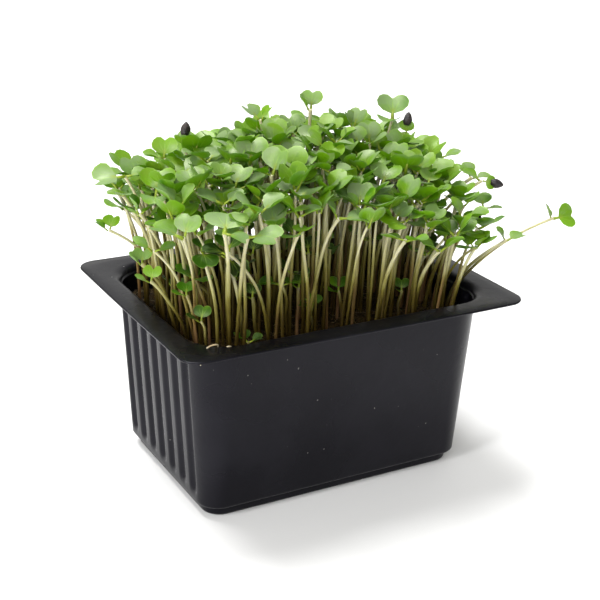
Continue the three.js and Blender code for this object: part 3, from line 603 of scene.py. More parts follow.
# [nearest tangle, top of the stem, leaf, leaf]. Turn 60 points to the back, 150 to the left, -30 to
# the right and -120 to the viewer. A leaf without cup is the one that a seed hull sits on.
LEADERS = [
    ((37, -18), (69, -20, 65), Leaf(-15, 8, 7.2, 55), Leaf(150, 65, 5)),  # reaches far out to the right
    ((37, -18), (51, -23, 62), Leaf(140, 62, 5), Leaf(-10, 25, 5.8)),  # below it
    ((37, -18), (45.5, -13, 63.5), Leaf(160, 20, 7.5), Leaf(0, 52, 3.6, 0, 0)),
    ((36, -6), (55, -7, 66), Leaf(75, 45, 6), Leaf(-30, 4, 5.5, -22)),
    ((36, -5), (51, -10, 75), Leaf(140, 35, 6.5), Leaf(-30, -10, 4, 60, 0)),
    ((37, 4), (53, -3, 73.8), Leaf(100, 45, 6.5), Leaf(-30, 15, 6)),
    ((31, 4), (46, -1, 72.5), Leaf(60, 66, 6.6), Leaf(-90, 5, 6)),
    ((36, 5), (50, 9, 77), Leaf(110, 30, 7.5), Leaf(-40, 25, 7)),
    ((30, 3), (38.5, 4, 80), Leaf(60, 42, 8.5), Leaf(-120, 0, 7)),
    ((30, 14), (39, 17.5, 87), Leaf(60, 52, 9.2), Leaf(-140, 12, 7)),  # heart at the top right
    ((31, 12), (40, 12, 83.8), Leaf(40, 78, 4.5, 0, 0), Leaf(150, 5, 4.5)),
    ((21, 16), (27, 19, 85.5), Leaf(120, 72, 5.5), Leaf(20, 66, 6.6)),
    ((16, 20), (18, 27, 86), Leaf(-35, 14, 8), Leaf(150, 25, 7)),
    ((8, 10), (9, 12, 93.5), Leaf(50, 68, 6.2), Leaf(150, 62, 5.5)),  # the highest
    ((6, 15), (8, 19, 85), Leaf(80, 55, 7.5), Leaf(-30, 58, 6)),
    ((-4, 5), (-5, 6, 88.5), Leaf(60, 58, 6.5), Leaf(-120, 20, 6)),
    ((-4, 13), (-5, 14, 91.5), Leaf(120, 38, 6.8), Leaf(-10, 62, 5)),
    ((-22, 14), (-26, 16, 86), Leaf(40, 80, 4.5, 0, 0), Leaf(220, 66, 4.5)),  # still closed
    ((-29, 6), (-35, 8, 85.5), Leaf(60, 68, 6.6), Leaf(160, 22, 6)),
    ((-33, 14), (-40, 19, 80), Leaf(120, 48, 7.5), Leaf(-50, 20, 6.5)),
    ((-36, 5), (-47, 4, 83.4), Leaf(168, -2, 9, -18), Leaf(-10, 12, 7)),  # wide pale one at the left
    ((-36, 5), (-45, 11, 76.5), Leaf(-100, 25, 6.5), Leaf(150, 10, 4.5)),
    ((-36, 14), (-45, 21, 64), Leaf(150, 45, 4.8), Leaf(40, 55, 5)),  # short one at the left
    ((-26, -4), (-30, -4, 82.3), Leaf(170, -3, 4, 0, 0), Leaf(50, 52, 7)),
    ((-33, -4), (-43, -6, 81), Leaf(60, 46, 9), Leaf(-120, 8, 7)),
    ((-10, -10), (-11, -12, 83), Leaf(60, 62, 10.6), Leaf(-110, 2, 7.5)),  # the widest
    ((-22, -13), (-26, -13, 83), Leaf(30, 48, 7.5), Leaf(200, 20, 7)),
    ((-26, -18), (-32, -20, 81.5), Leaf(150, 30, 8), Leaf(-10, 40, 6.5)),
    ((-16, -20), (-18, -24, 79), Leaf(100, 72, 5.6), Leaf(-60, 20, 6.8)),
    ((-30, -23), (-38, -33, 79), Leaf(60, 18, 10.4), Leaf(-40, -4, 6)),
    ((-24, -20), (-33, -25, 71), Leaf(60, 50, 7), Leaf(165, 20, 7)),
    ((-34, -17), (-44, -24, 76), Leaf(140, 26, 9), Leaf(40, 58, 7)),
    ((-36, -9), (-46, -11, 69), Leaf(150, 35, 6.5), Leaf(-30, 20, 6)),
    ((-10, -22), (-5, -28, 77), Leaf(150, 64, 6), Leaf(-30, 4, 8)),  # leans across the front
    ((2, -20), (3, -24, 78), Leaf(50, 66, 7), Leaf(150, 36, 7.5)),
    ((10, -16), (14, -17, 80), Leaf(40, 44, 8.4), Leaf(-130, 10, 7)),
    ((16, -14), (22, -20, 74.5), Leaf(70, 40, 7.5), Leaf(-50, 0, 7)),
    ((25, -16), (28, -19, 60), Leaf(20, 20, 7), Leaf(180, 30, 6)),  # low and in the shade
]


def seeded_draws(seed):
    """Numbers between 0 and 1 that are the same in each run."""
    state = seed
    while True:
        state = state * 48271 % 2147483647
        yield state / 2147483647


def tangle_places(draw):
    """Where the tangles of roots are: staggered rows, each place a little off."""
    places = [CORNER_TANGLE]
    for row in range(ROWS):
        count = COLUMNS - 1 + row % 2
        for column in range(count):
            x = (column - (count - 1) / 2) * COLUMN_PITCH + JITTER * (draw() - 0.5) * 2
            y = (row - (ROWS - 1) / 2) * ROW_PITCH + JITTER * (draw() - 0.5) * 2
            crowded = any(math.hypot(a - x, b - y) < TANGLE_GAP for a, b in places)
            in_corner = abs(x) > CORNER_FROM[0] and abs(y) > CORNER_FROM[1]
            near_wall = abs(x) > WALL_FROM[0] or abs(y) > WALL_FROM[1]
            if not (crowded or in_corner or near_wall):
                places.append((x, y))
    return places


def leaf_frame(leaf):
    """Directions across and along a leaf and out of its upper face, as the rows of a matrix."""
    turn, rise, roll = (math.radians(angle) for angle in (leaf.turn, leaf.rise, leaf.roll))
    along = (math.cos(rise) * math.cos(turn), math.cos(rise) * math.sin(turn), math.sin(rise))
    level = (math.sin(turn), -math.cos(turn), 0)
    upward = (-math.sin(rise) * math.cos(turn), -math.sin(rise) * math.sin(turn), math.cos(rise))
    across = [a * math.cos(roll) - b * math.sin(roll) for a, b in zip(level, upward)]
    normal = [a * math.sin(roll) + b * math.cos(roll) for a, b in zip(level, upward)]
    return np.array((across, along, normal))


def leaf_root(top, leaf):
    """Where a leaf's stalk comes out of the side of the stem."""
    turn = math.radians(leaf.turn)
    return np.array(top) + np.array((math.cos(turn), math.sin(turn), 0)) * STEM_HALF


def leaf_outline(top, leaf):
    """Points of the leaf's upper face: the notch, then round the blade and the stalk's root."""
    root = leaf_root(top, leaf)
    blade = OUTLINE * (leaf.width, leaf.width, leaf.cup * leaf.width)
    blade = (blade + (0, STALK_SHARE * leaf.width, HALF_LEAF)) @ leaf_frame(leaf) + root
    ends = np.array(((STEM_HALF, 0, HALF_LEAF), (-STEM_HALF, 0, HALF_LEAF)))
    return np.concatenate([blade[:4], ends @ leaf_frame(leaf._replace(roll=0)) + root, blade[4:]])


def stem_points(foot, top, shares):
    """A stem stands upright in the medium and bends over towards its top."""
    start = np.array((foot[0], foot[1], float(soil_height(foot[0], foot[1]))))
    end = np.array(top, float)
    bend = start + (end - start) * (STEM_BEND[0], STEM_BEND[0], STEM_BEND[1])
    t = np.array(shares)[:, None]
    return start * (1 - t) ** 2 + 2 * bend * t * (1 - t) + end * t**2


def samples_of(foot, top, leaves):
    """Points close enough together to tell whether another sprout comes too near."""
    parts = []
    for leaf in leaves:
        outline = leaf_outline(top, leaf)
        notch, rim = outline[:1], outline[1:]
        ends = np.concatenate([rim, (rim[:-1] + rim[1:]) / 2])
        parts += [notch + (ends - notch) * part / 3 for part in (1, 2, 3)]
    parts.append(stem_points(foot, top, STEM_SHARES))
    return np.concatenate(parts)


class Crop:
    """The sprouts that stand already, with the points that others keep clear of."""

    def __init__(self):
        self.sprouts = []
        self.low = np.empty((0, 3))
        self.high = np.empty((0, 3))

    def is_clear(self, samples, tangle, clearance):
        """Whether no point of another sprout comes nearer, apart from stems low on the same tangle."""
        low = samples.min(axis=0) - clearance
        high = samples.max(axis=0) + clearance
        close = np.flatnonzero(((self.high > low) & (self.low < high)).all(axis=1))
        if not len(close):
            return True
        near = np.concatenate([self.sprouts[i].samples for i in close])
        own = np.repeat([self.sprouts[i].tangle == tangle for i in close], len(samples))
        inside = ((near > low) & (near < high)).all(axis=1)
        near, own = near[inside], own[inside]
        for some in (samples[::COARSE_STEP], samples):
            square = (some**2).sum(axis=1)[:, None] + (near**2).sum(axis=1)[None] - 2 * some @ near.T
            shared = (some[:, 2] < MEDIUM_TOP + LOW_STEM)[:, None] & own[None]
            if ((square <= clearance**2) & ~shared).any():
                return False
        return True

    def plant(self, foot, top, leaves, tangle, samples):
        self.sprouts.append(Sprout(foot, top, leaves, tangle, samples))
        self.low = np.concatenate([self.low, [samples.min(axis=0)]])
        self.high = np.concatenate([self.high, [samples.max(axis=0)]])


def free_foot(place, top, taken):
    """The free one of a tangle's four places for stems that is nearest to where the stem leans."""
    lean = math.atan2(top[1] - place[1], top[0] - place[0])
    angles = {slot: FIRST_STEM_ANGLE + slot * math.pi / 2 for slot in range(STEMS_PER_TANGLE)}
    free = [slot for slot in angles if slot not in taken]
    slot = min(free, key=lambda one: 1 - math.cos(lean - angles[one]))
    x = place[0] + STEM_SPREAD * math.cos(angles[slot])
    y = place[1] + STEM_SPREAD * math.sin(angles[slot])
    return slot, (x, y)


def canopy_height(x, y):
    """How high the crop reaches: highest over the middle, and lower to all sides."""
    x, y = x / CANOPY_HALF[0], y / CANOPY_HALF[1]
    return 86.7 - 1.5 * x - 8.2 * x**2 + 2.3 * y - 6.8 * y**2 + 6 * x * y


def draw_top(place, draw, drop=12, lowest=LOWEST_TOP, lean_more=7):
    """The top of a stem that leans a little to any side, at the canopy's height or some way below it."""
    around = 2 * math.pi * draw()
    lean = 1 + lean_more * draw()
    x = CROP_SPREAD * place[0] + lean * math.cos(around)
    y = CROP_SPREAD * place[1] + lean * math.sin(around)
    right, back = min(1, abs(x) / CANOPY_HALF[0]), min(1, abs(y) / CANOPY_HALF[1])
    deepest = drop * (1 - back**2 * (1 - right**2))
    z = canopy_height(x, y) + TOP_JITTER * (draw() - 0.5) - deepest * draw() ** 2
    return x, y, max(z, lowest)


def draw_leaves(draw, least=5.8, more=3.4, rise=8):
    """Two leaves on opposite sides. Least and more give their widths, and rise how steep they stand."""
    turn = 360 * draw()
    return [Leaf(
        turn + side + TURN_SWING * (draw() - 0.5), rise + RISE_SWING * draw(),
        least + more * draw(), ROLL_SWING * (draw() - 0.5),
    ) for side in (0, 180)]


def plant_tufts(crop, places, draw):
    """The leaders, then the other sprouts of the tangles, in rounds over all of them."""
    taken = [set() for _ in places]
    for near, top, first, second in LEADERS:
        open_ones = [i for i in range(len(places)) if len(taken[i]) < STEMS_PER_TANGLE]
        tangle = min(open_ones, key=lambda i: math.hypot(places[i][0] - near[0], places[i][1] - near[1]))
        slot, foot = free_foot(places[tangle], top, taken[tangle])
        leaves = [first, second]
        crop.plant(foot, top, leaves, tangle, samples_of(foot, top, leaves))
        taken[tangle].add(slot)
    for standing in range(STEMS_PER_TANGLE):
        for tangle, place in enumerate(places):
            if len(taken[tangle]) > standing:
                continue
            for _ in range(TRIES):
                top, leaves = draw_top(place, draw), draw_leaves(draw)
                slot, foot = free_foot(place, top, taken[tangle])
                samples = samples_of(foot, top, leaves)
                if crop.is_clear(samples, tangle, CLEARANCE):
                    crop.plant(foot, top, leaves, tangle, samples)
                    taken[tangle].add(slot)
                    break


crop = Crop()
draw = seeded_draws(SEED).__next__
tangles = tangle_places(draw)
plant_tufts(crop, tangles, draw)

# Single sprouts. They stand between the tufts on roots of their own, thinner and with smaller leaves.
# Some of them stay short in the shade of the others, with small leaves halfway up painted dark as shade.
SINGLE_SEED = 7331
SINGLE_CLEARANCE = 0.35
SINGLES, SHORT_ONES = 200, 26
SHORTEST, SHORT_MORE = 53, 17  # tops of the short ones, from the first and up to this much higher
FEET_TRIED, SINGLE_TRIES = 12, 24  # places tried for each sprout, and tops for each place
SOWN_HALF = (39.2, 27.2)
SINGLE_CORNER_FROM = (32, 20)
SINGLE_REACH = (47, 33)
FOOT_GAP = 1.5
FIRST_LOW_TANGLE = -1000  # the low ones are counted down from here, and the other singles from -1
# Pairs of leaves whose lower one points to the viewer, to the left, or to the viewer's right.
FRONT_PAIR = Leaf(110, 50, 6.2), Leaf(240, 25, 5.3)
LEFT_PAIR = Leaf(45, 60, 5.4), Leaf(175, 25, 4.6)
RIGHT_PAIR = Leaf(150, 40, 6.4), Leaf(280, 25, 5.4)
LOW_ONES = (
    # foot, top of the stem, leaf, leaf
    ((-28.2, -24), (-31.2, -20.5, 68.2), Leaf(-75, -25, 6.6), Leaf(130, 20, 5.5)),  # hangs over the front
    ((-35, -24), (-37.4, -19.6, 70.5), Leaf(-100, -15, 6.6), Leaf(60, 30, 5)),
    ((-39, -10), (-46.5, -4.8, 63.5), Leaf(60, 58, 5), Leaf(150, 50, 4.6)),
    ((-38.5, -14), (-45.8, -8.6, 60.2), Leaf(50, 60, 4.8), Leaf(170, 30, 4.4)),
    ((-38.0, -19), (-39.8, -16.5, 58.5), Leaf(70, 40, 4.6), Leaf(190, 30, 4.2)),
    ((-23.2, -22), (-23.8, -19.9, 56.5), Leaf(60, 55, 4.4), Leaf(180, 30, 4)),
    ((-36.5, -22), (-37.6, -19.8, 52.6), Leaf(50, 62, 4.6), Leaf(170, 40, 4.2)),
    ((-7.5, -18), (-5.8, -15.5, 64), Leaf(70, 50, 6.2), Leaf(170, 35, 5.2)),  # in the shade from here on
    ((-11, -20), (-9.6, -17.5, 56), Leaf(50, 55, 5), Leaf(150, 40, 4.6)),
    ((2.4, -19.5), (2.6, -17, 53), Leaf(60, 40, 5.4), Leaf(190, 20, 4.6)),
    ((-7.8, -21.8), (-7.2, -20.5, 51.4), Leaf(50, 40, 4.6), Leaf(170, 30, 4.2)),
    ((30.5, -14), (32.4, -11, 56), Leaf(30, 45, 6.6), Leaf(140, 40, 5.4)),
    ((35.5, -11.5), (37.2, -9.2, 54), Leaf(80, 58, 5), Leaf(-20, 30, 4.4)),
    ((19, -21), (20.5, -19.5, 51), Leaf(60, 50, 4.4), Leaf(180, 40, 4)),
    ((-27, -25.8), (-27.6, -25.4, 47.6), Leaf(100, 30, 4.6), Leaf(-20, 25, 4.2)),
    ((18.7, -15), (18.5, -15, 69.2), *FRONT_PAIR),
    ((25.2, -17), (27.1, -15, 67.3), *FRONT_PAIR),
    ((31.7, -13.1), (34.1, -13, 68.6), *LEFT_PAIR),
    ((35.2, -15), (37.9, -15, 64.8), *LEFT_PAIR),
    ((28.2, -15), (30.3, -15, 59.3), Leaf(60, 55, 6.6), Leaf(190, 25, 5.6)),
    ((10.9, -15), (11.7, -15, 65.2), *RIGHT_PAIR),
    ((0.6, -15), (0.7, -15, 64.6), *FRONT_PAIR),
    ((-10.7, -15), (-9.9, -15, 59.1), *RIGHT_PAIR),
    ((-20.1, -17), (-21.6, -15, 65.9), *LEFT_PAIR),
    ((-11.7, -14), (-9.4, -15, 68.9), *FRONT_PAIR),
    ((-32.9, -15), (-36.9, -15, 61.7), *RIGHT_PAIR),
)


def draw_single(foot, draw, short):
    """The top and the leaves of a sprout that stands alone."""
    if not short:
        return draw_top(foot, draw, drop=10, lowest=64, lean_more=4), draw_leaves(draw, 5.2, 3.6, 22)
    x, y, _ = draw_top(foot, draw)
    return (x, y, SHORTEST + SHORT_MORE * draw()), draw_leaves(draw, 4.2, 2.2)


def plant_singles(crop, draw, count, short):
    """Thinner sprouts in the free places between the tufts."""
    feet = [sprout.foot for sprout in crop.sprouts]
    planted = 0
    for _ in range(count * FEET_TRIED):
        foot = (SOWN_HALF[0] * (2 * draw() - 1), SOWN_HALF[1] * (2 * draw() - 1))
        in_corner = abs(foot[0]) > SINGLE_CORNER_FROM[0] and abs(foot[1]) > SINGLE_CORNER_FROM[1]
        if in_corner or any(math.hypot(foot[0] - x, foot[1] - y) < FOOT_GAP for x, y in feet):
            continue
        tangle = -1 - planted
        for _ in range(SINGLE_TRIES):
            top, leaves = draw_single(foot, draw, short)
            samples = samples_of(foot, top, leaves)
            within = (np.abs(samples[:, :2]).max(axis=0) < SINGLE_REACH).all()
            if within and crop.is_clear(samples, tangle, SINGLE_CLEARANCE):
                crop.plant(foot, top, leaves, tangle, samples)
                feet.append(foot)
                planted += 1
                break
        if planted == count:
            break


for number, (foot, top, *leaves) in enumerate(LOW_ONES):
    crop.plant(foot, top, leaves, FIRST_LOW_TANGLE - number, samples_of(foot, top, leaves))
single_draw = seeded_draws(SINGLE_SEED).__next__
plant_singles(crop, single_draw, SHORT_ONES, short=True)
plant_singles(crop, single_draw, SINGLES, short=False)

# Stems. Each is a pale juicy stalk about a millimetre thick, whitish green under the leaves and olive
# to brown where it comes out of the medium, the dark foot partly painted shade. Some are flushed with red.
STEM_POINTS = 15
STEM_ROOT = 2.5  # how deep a stem goes into the medium
STEM_THIN, STEM_THICK, SINGLE_GIRTH = 0.36, 0.52, 0.96
FOOT_GIRTH, STEM_TAPER = 1.08, 0.2  # girth at the foot, and how much of it is gone at the top
FLARE, FLARE_FROM, FLARE_LENGTH = 0.22, 0.93, 0.07  # a stem widens this much under its leaves
STEM_SIDES = 8
STEM_WOBBLE = 0.45
SHADED_TOP, SHADED_SHARE = 67, 0.55  # a single stem below this height gets only this far towards pale, as painted shade
STEM_PALE = (0.44, 0.42, 0.27, 1)
STEM_GREEN = (0.21, 0.195, 0.040, 1)
# The brown and olive low down are partly the stems' own colour and partly painted shade of the dense stand.
STEM_OLIVE = (0.095, 0.076, 0.010, 1)
STEM_BROWN = (0.034, 0.021, 0.002, 1)
STEM_RED = (0.24, 0.13, 0.06, 1)
STEM_DEPTH = (0.6, 0.6, 0.3)  # how far red, green and blue light goes into the flesh


def with_values(mesh, **values):
    """Gives a mesh one named value or vector for each of its points."""
    for name, data in values.items():
        data = np.asarray(data, float)
        kind, field = ("FLOAT", "value") if data.ndim == 1 else ("FLOAT_VECTOR", "vector")
        mesh.attributes.new(name, kind, "POINT").data.foreach_set(field, data.ravel())
    return mesh


def stem_lines(sprouts):
    """The middle line of each stem, with its thickness and its share of the height at each point."""
    random = np.random.default_rng(12)
    points, edges, girth, share, tone = [], [], [], [], []
    for sprout in sprouts:
        shares = np.linspace(0, 1, STEM_POINTS)
        line = stem_points(sprout.foot, sprout.top, shares)
        wave = np.sin(np.pi * shares * random.uniform(1, 2.4)) * np.sin(np.pi * shares)
        heading = random.uniform(0, 2 * math.pi)
        line[:, 0] += STEM_WOBBLE * wave * math.cos(heading)
        line[:, 1] += STEM_WOBBLE * wave * math.sin(heading)
        line = np.concatenate([[line[0] - (0, 0, STEM_ROOT)], line])
        shares = np.concatenate([[0], shares])
        single = sprout.tangle < 0
        # Short single stems keep their darker colours further up, as painted shade.
        colouring = SHADED_SHARE if single and sprout.top[2] < SHADED_TOP else 1
        radius = random.uniform(STEM_THIN, STEM_THICK) * (SINGLE_GIRTH if single else 1)
        flare = FLARE * smooth_step((shares - FLARE_FROM) / FLARE_LENGTH)
        start = len(points)
        points.extend(line * MM)
        edges.extend((start + i, start + i + 1) for i in range(STEM_POINTS))
        girth.extend(radius * (FOOT_GIRTH - STEM_TAPER * shares + flare) * MM)
        share.extend(colouring * shares)
        tone.extend([random.uniform()] * (STEM_POINTS + 1))
    mesh = bpy.data.meshes.new("stem_lines")
    mesh.from_pydata(np.array(points).tolist(), edges, [])
    return with_values(mesh, girth=girth, share=share, tone=tone)


def attribute(tree, name, data_type="FLOAT"):
    """A value that with_values gave to the points, in a tree for meshes."""
    node = add_node(tree, "GeometryNodeInputNamedAttribute", {"Name": name}, data_type=data_type)
    return node.outputs["Attribute"]


def stem_tree():
    """Turns lines into round stems of the girth that each point gives."""
    tree, given = node_tree("stems along lines", "Stem", Sides=STEM_SIDES)
    lines = add_node(tree, "GeometryNodeMeshToCurve", {"Mesh": given.outputs["Geometry"]})
    profile = add_node(tree, "GeometryNodeCurvePrimitiveCircle", {
        "Resolution": given.outputs["Sides"], "Radius": 1.0,
    })
    tubes = add_node(tree, "GeometryNodeCurveToMesh", {
        "Curve": lines.outputs["Curve"],
        "Profile Curve": profile.outputs["Curve"],
        "Scale": attribute(tree, "girth"),
        "Fill Caps": True,
    })
    finish_tree(tree, tubes.outputs["Mesh"], given.outputs["Stem"])
    return tree


def surface_value(tree, name):
    """A value that with_values gave to the points, in a material."""
    return add_node(tree, "ShaderNodeAttribute", attribute_name=name).outputs["Fac"]


def stem_material():
    """Brown at the foot, partly as painted shade, then olive and green, and pale under the leaves. Some stems
    are flushed.
    """
    material, tree, shader = new_material("stem")
    share, tone = surface_value(tree, "share"), surface_value(tree, "tone")
    height = scaled(tree, mottle(tree, scale=120, low=0.3, high=0.7), factor=0.16, added=share)
    # Brown and olive low down, partly painted shade of the dense stand.
    low = colour_between(tree, between(tree, height, 0.12, 0.48), STEM_BROWN, STEM_OLIVE)
    middle = colour_between(tree, between(tree, height, 0.3, 0.7), low, STEM_GREEN)
    flushed = times(tree, between(tree, tone, 0.72, 0.95), between(tree, height, 0.9, 0.2))
    redder = colour_between(tree, times(tree, flushed, 0.5), middle, STEM_RED)
    set_inputs(tree, shader, {
        "Base Color": colour_between(tree, between(tree, height, 0.42, 0.96), redder, STEM_PALE),
        "Roughness": 0.45,
        "Specular IOR Level": 0.22,
        "Subsurface Weight": 0.6,
        "Subsurface Radius": STEM_DEPTH,
        "Subsurface Scale": 0.0025,
        "Normal": bumped(
            tree, mottle(tree, scale=700, low=0.2, high=0.8, detail=1.0), strength=0.15, distance=0.0001,
        ),
    })
    return material


clumps = sorted(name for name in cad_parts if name.startswith("sprout_clump_"))
stems = grown("cress_stems", stem_lines(crop.sprouts), stem_tree(), Sides=STEM_SIDES, Stem=stem_material())
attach(stems, "root")
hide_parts(*clumps)

# Seed leaves. Two on each sprout, on short stalks. They are kidney-shaped with a notch at the tip,
# slightly cupped, fresh green with a pale bloom of wax above that is partly painted sheen where a leaf
# faces up and stands high, and painted dark as shade where others shade them deep in the canopy. Faint
# pale veins run through them to a thin pale rim.
BLADE_ACROSS = (-1, -0.72, -0.36, 0, 0.36, 0.72, 1)
BLADE_ALONG = (0, 0.14, 0.38, 0.68, 1)
HALF_WIDTHS = ((0, 0.14, 0.38, 0.68, 1), (0.12, 0.62, 0.93, 1, 0.86))
TIP_REACH = ((0, 0.36, 0.72, 1), (0.90, 1, 0.96, 0.80))
NOTCH_LEAST, NOTCH_MORE = 0.02, 0.16  # depth of the notch, as a share of the width
BLADE_BELLY = 0.024  # half of the blade's thickness in the middle, as a share of its width
LEAF_STALK, LEAF_BLADE = 0.17, 0.67  # lengths of the stalk and the blade, as shares of the width
STALK_RINGS = ((-0.05, 0.062), (0.13, 0.05), (0.42, 0.03))  # along the leaf, and radius
STALK_FLATNESS, STALK_DROP, STALK_SIDES = 0.8, 0.012, 4
CUP_DEPTH, TIP_DEPTH, DROOP_DEPTH = 0.14, 0.05, 0.16  # as shares of the width
LEAF_RIPPLE, RIPPLE_SCALE = 0.10, 320.0
NOTCH_HALF = 0.5  # half of the notch's width, as a share of half of the blade's
FLAT_CUP = 0.2  # cup of a leaf that a hull holds
FIRST_CUP, LAST_CUP, MOST_DROOP = 0.6, 1.5, 0.9
SHADED_HALF = 41  # leaves further out get no painted shade
SHADE_STARTS, SHADE_DEEPENS = 4, 7  # depth below the canopy where painted shade starts darkening leaves, and over which it deepens
# Random tone of a sprout and of a leaf, and how far painted shade darkens leaves deep in the canopy.
SPROUT_TONE, LEAF_TONE, PAINTED_SHADE_TONE = 0.65, 0.35, 0.85
SHEEN_HEIGHT = 22  # leaves this far above the lowest tops get more painted sheen
# How much facing up and standing high add painted sheen to the wax bloom, how much is taken off all, and how
# much painted shade takes away.
SHEEN_FACING, SHEEN_HIGH, WAX_AND_SHEEN_LESS, SHEEN_LOST_IN_SHADE = 0.3, 0.2, 0.3, 0.8
# The darkest green is painted shade, for leaves deep in the canopy.
LEAF_SHADE = (0.005, 0.021, 0.0003, 1)
LEAF_DEEP = (0.042, 0.155, 0.0005, 1)
LEAF_GREEN = (0.155, 0.325, 0.001, 1)
LEAF_LIGHT = (0.19, 0.34, 0.010, 1)
LEAF_VEIN = (0.30, 0.50, 0.08, 1)
LEAF_BASE = (0.30, 0.38, 0.03, 1)
# Pale bloom of wax, partly a painted sheen of the light from above.
LEAF_WAX_AND_SHEEN = (0.225, 0.33, 0.135, 1)
LEAF_SHEEN = (0.95, 1.0, 0.5, 1)
LEAF_GLOW = (0.36, 0.66, 0.001, 1)  # light that comes through a leaf


def leaf_shape():
    """One seed leaf of width 1 that points along Y, as two closed shells: the blade and its stalk."""
    s, t = np.meshgrid(BLADE_ACROSS, BLADE_ALONG)
    x = s * np.interp(t, *HALF_WIDTHS) / 2
    y = t * np.interp(np.abs(s), *TIP_REACH)
    belly = BLADE_BELLY * (1 - np.abs(s) ** 3) * np.minimum(1, 1.25 - t**4) * np.minimum(1, 0.35 + 4 * t)
    on_rim = (np.abs(s) == 1) | (t == 0) | (t == 1)
    belly[on_rim] = 0
    points, blade = [], []
    rows, columns = s.shape
    number = np.zeros((2, rows, columns), int)
    for side in (0, 1):
        for row in range(rows):
            for column in range(columns):
                if side and on_rim[row, column]:
                    number[1, row, column] = number[0, row, column]
                    continue
                number[side, row, column] = len(points)
                lift = belly[row, column] * (1 - 2 * side)
                points.append((x[row, column], LEAF_STALK + LEAF_BLADE * y[row, column], lift))
                blade.append((s[row, column], t[row, column], 1 - side / 2))
    faces = []
    for row in range(rows - 1):
        for column in range(columns - 1):
            corners = ((row, column), (row, column + 1), (row + 1, column + 1), (row + 1, column))
            faces.append([number[0, r, c] for r, c in corners])
            faces.append([number[1, r, c] for r, c in reversed(corners)])
    start = len(points)
    for length, radius in STALK_RINGS:
        for angle in np.arange(STALK_SIDES) * math.pi / 2:
            lift = radius * STALK_FLATNESS * math.sin(angle) - STALK_DROP
            points.append((radius * math.cos(angle), length, lift))
            blade.append((0, (length - LEAF_STALK) / LEAF_BLADE, 0))
    last = start + (len(STALK_RINGS) - 1) * STALK_SIDES
    for ring in range(start, last, STALK_SIDES):
        for i in range(STALK_SIDES):
            a, b = ring + i, ring + (i + 1) % STALK_SIDES
            faces.append((a, a + STALK_SIDES, b + STALK_SIDES, b))
    faces.append([start + i for i in range(STALK_SIDES)])
    faces.append([last + i for i in reversed(range(STALK_SIDES))])
    mesh = bpy.data.meshes.new("seed_leaf")
    mesh.from_pydata([tuple(map(float, p)) for p in points], [], [list(map(int, f)) for f in faces])
    points = np.array(points)
    length = (points[:, 1] - LEAF_STALK) / LEAF_BLADE
    cup = CUP_DEPTH * (2 * points[:, 0]) ** 2 - TIP_DEPTH * np.maximum(0, length)
    droop = -DROOP_DEPTH * np.maximum(0, length) ** 2
    ripple = np.clip(np.hypot(points[:, 0], length - 0.3), 0, 1)
    blade = np.array(blade)
    dent = -np.sign(blade[:, 2]) * np.clip(1 - np.abs(blade[:, 0]) / NOTCH_HALF, 0, 1) * blade[:, 1] ** 3
    with_values(mesh, blade=blade, curl=np.stack([cup, droop, ripple], axis=1), dent=dent)
    rim = set(number[0][on_rim].tolist())
    sharp = mesh.attributes.new("sharp_edge", "BOOLEAN", "EDGE")
    for edge in mesh.edges:
        sharp.data[edge.index].value = edge.vertices[0] in rim and edge.vertices[1] in rim
    return placed("seed_leaf", mesh)


def leaf_points(sprouts):
    """One point for each leaf, with its direction, its size and how it curls."""
    random = np.random.default_rng(5)
    roots, settings = [], []
    for sprout in sprouts:
        # Leaves deep below the canopy get painted shade: a darker tone, and less wax and sheen.
        depth = canopy_height(*sprout.top[:2]) - sprout.top[2] if abs(sprout.top[0]) < SHADED_HALF else 0
        painted_shade = float(smooth_step((depth - SHADE_STARTS) / SHADE_DEEPENS))
        shade = random.uniform()
        height = (sprout.top[2] - LOWEST_TOP) / SHEEN_HEIGHT
        for leaf in sprout.leaves:
            rows = leaf_frame(leaf)
            roots.append(leaf_root(sprout.top, leaf) * MM)
            settings.append({
                "turned": Matrix(rows.T.tolist()).to_euler()[:],
                "upward": rows[2],
                "forward": rows[1],
                "width": leaf.width * MM,
                "cup": leaf.cup * random.uniform(FIRST_CUP, LAST_CUP) if leaf.cup else FLAT_CUP,
                "droop": random.uniform(0, MOST_DROOP) if leaf.cup else 0,
                "notch": NOTCH_LEAST + NOTCH_MORE * random.uniform() ** 1.5,
                "tone": SPROUT_TONE * shade + LEAF_TONE * random.uniform() - PAINTED_SHADE_TONE * painted_shade,
                # Wax bloom at random, plus painted sheen where a leaf faces up and stands high, and less in
                # painted shade.
                "bloom_and_sheen": np.clip(
                    random.uniform() + SHEEN_FACING * rows[2][2] + SHEEN_HIGH * height - WAX_AND_SHEEN_LESS
                    - SHEEN_LOST_IN_SHADE * painted_shade, 0, 1,
                ),
            })
    mesh = bpy.data.meshes.new("leaf_points")
    mesh.from_pydata(np.array(roots).tolist(), [], [])
    return with_values(mesh, **{name: [leaf[name] for leaf in settings] for name in settings[0]})


def along_vector(tree, vector_name, amount):
    """A leaf's own direction, made as long as the amount."""
    direction = attribute(tree, vector_name, "FLOAT_VECTOR")
    node = add_node(tree, "ShaderNodeVectorMath", {0: direction, "Scale": amount}, operation="SCALE")
    return node.outputs[0]


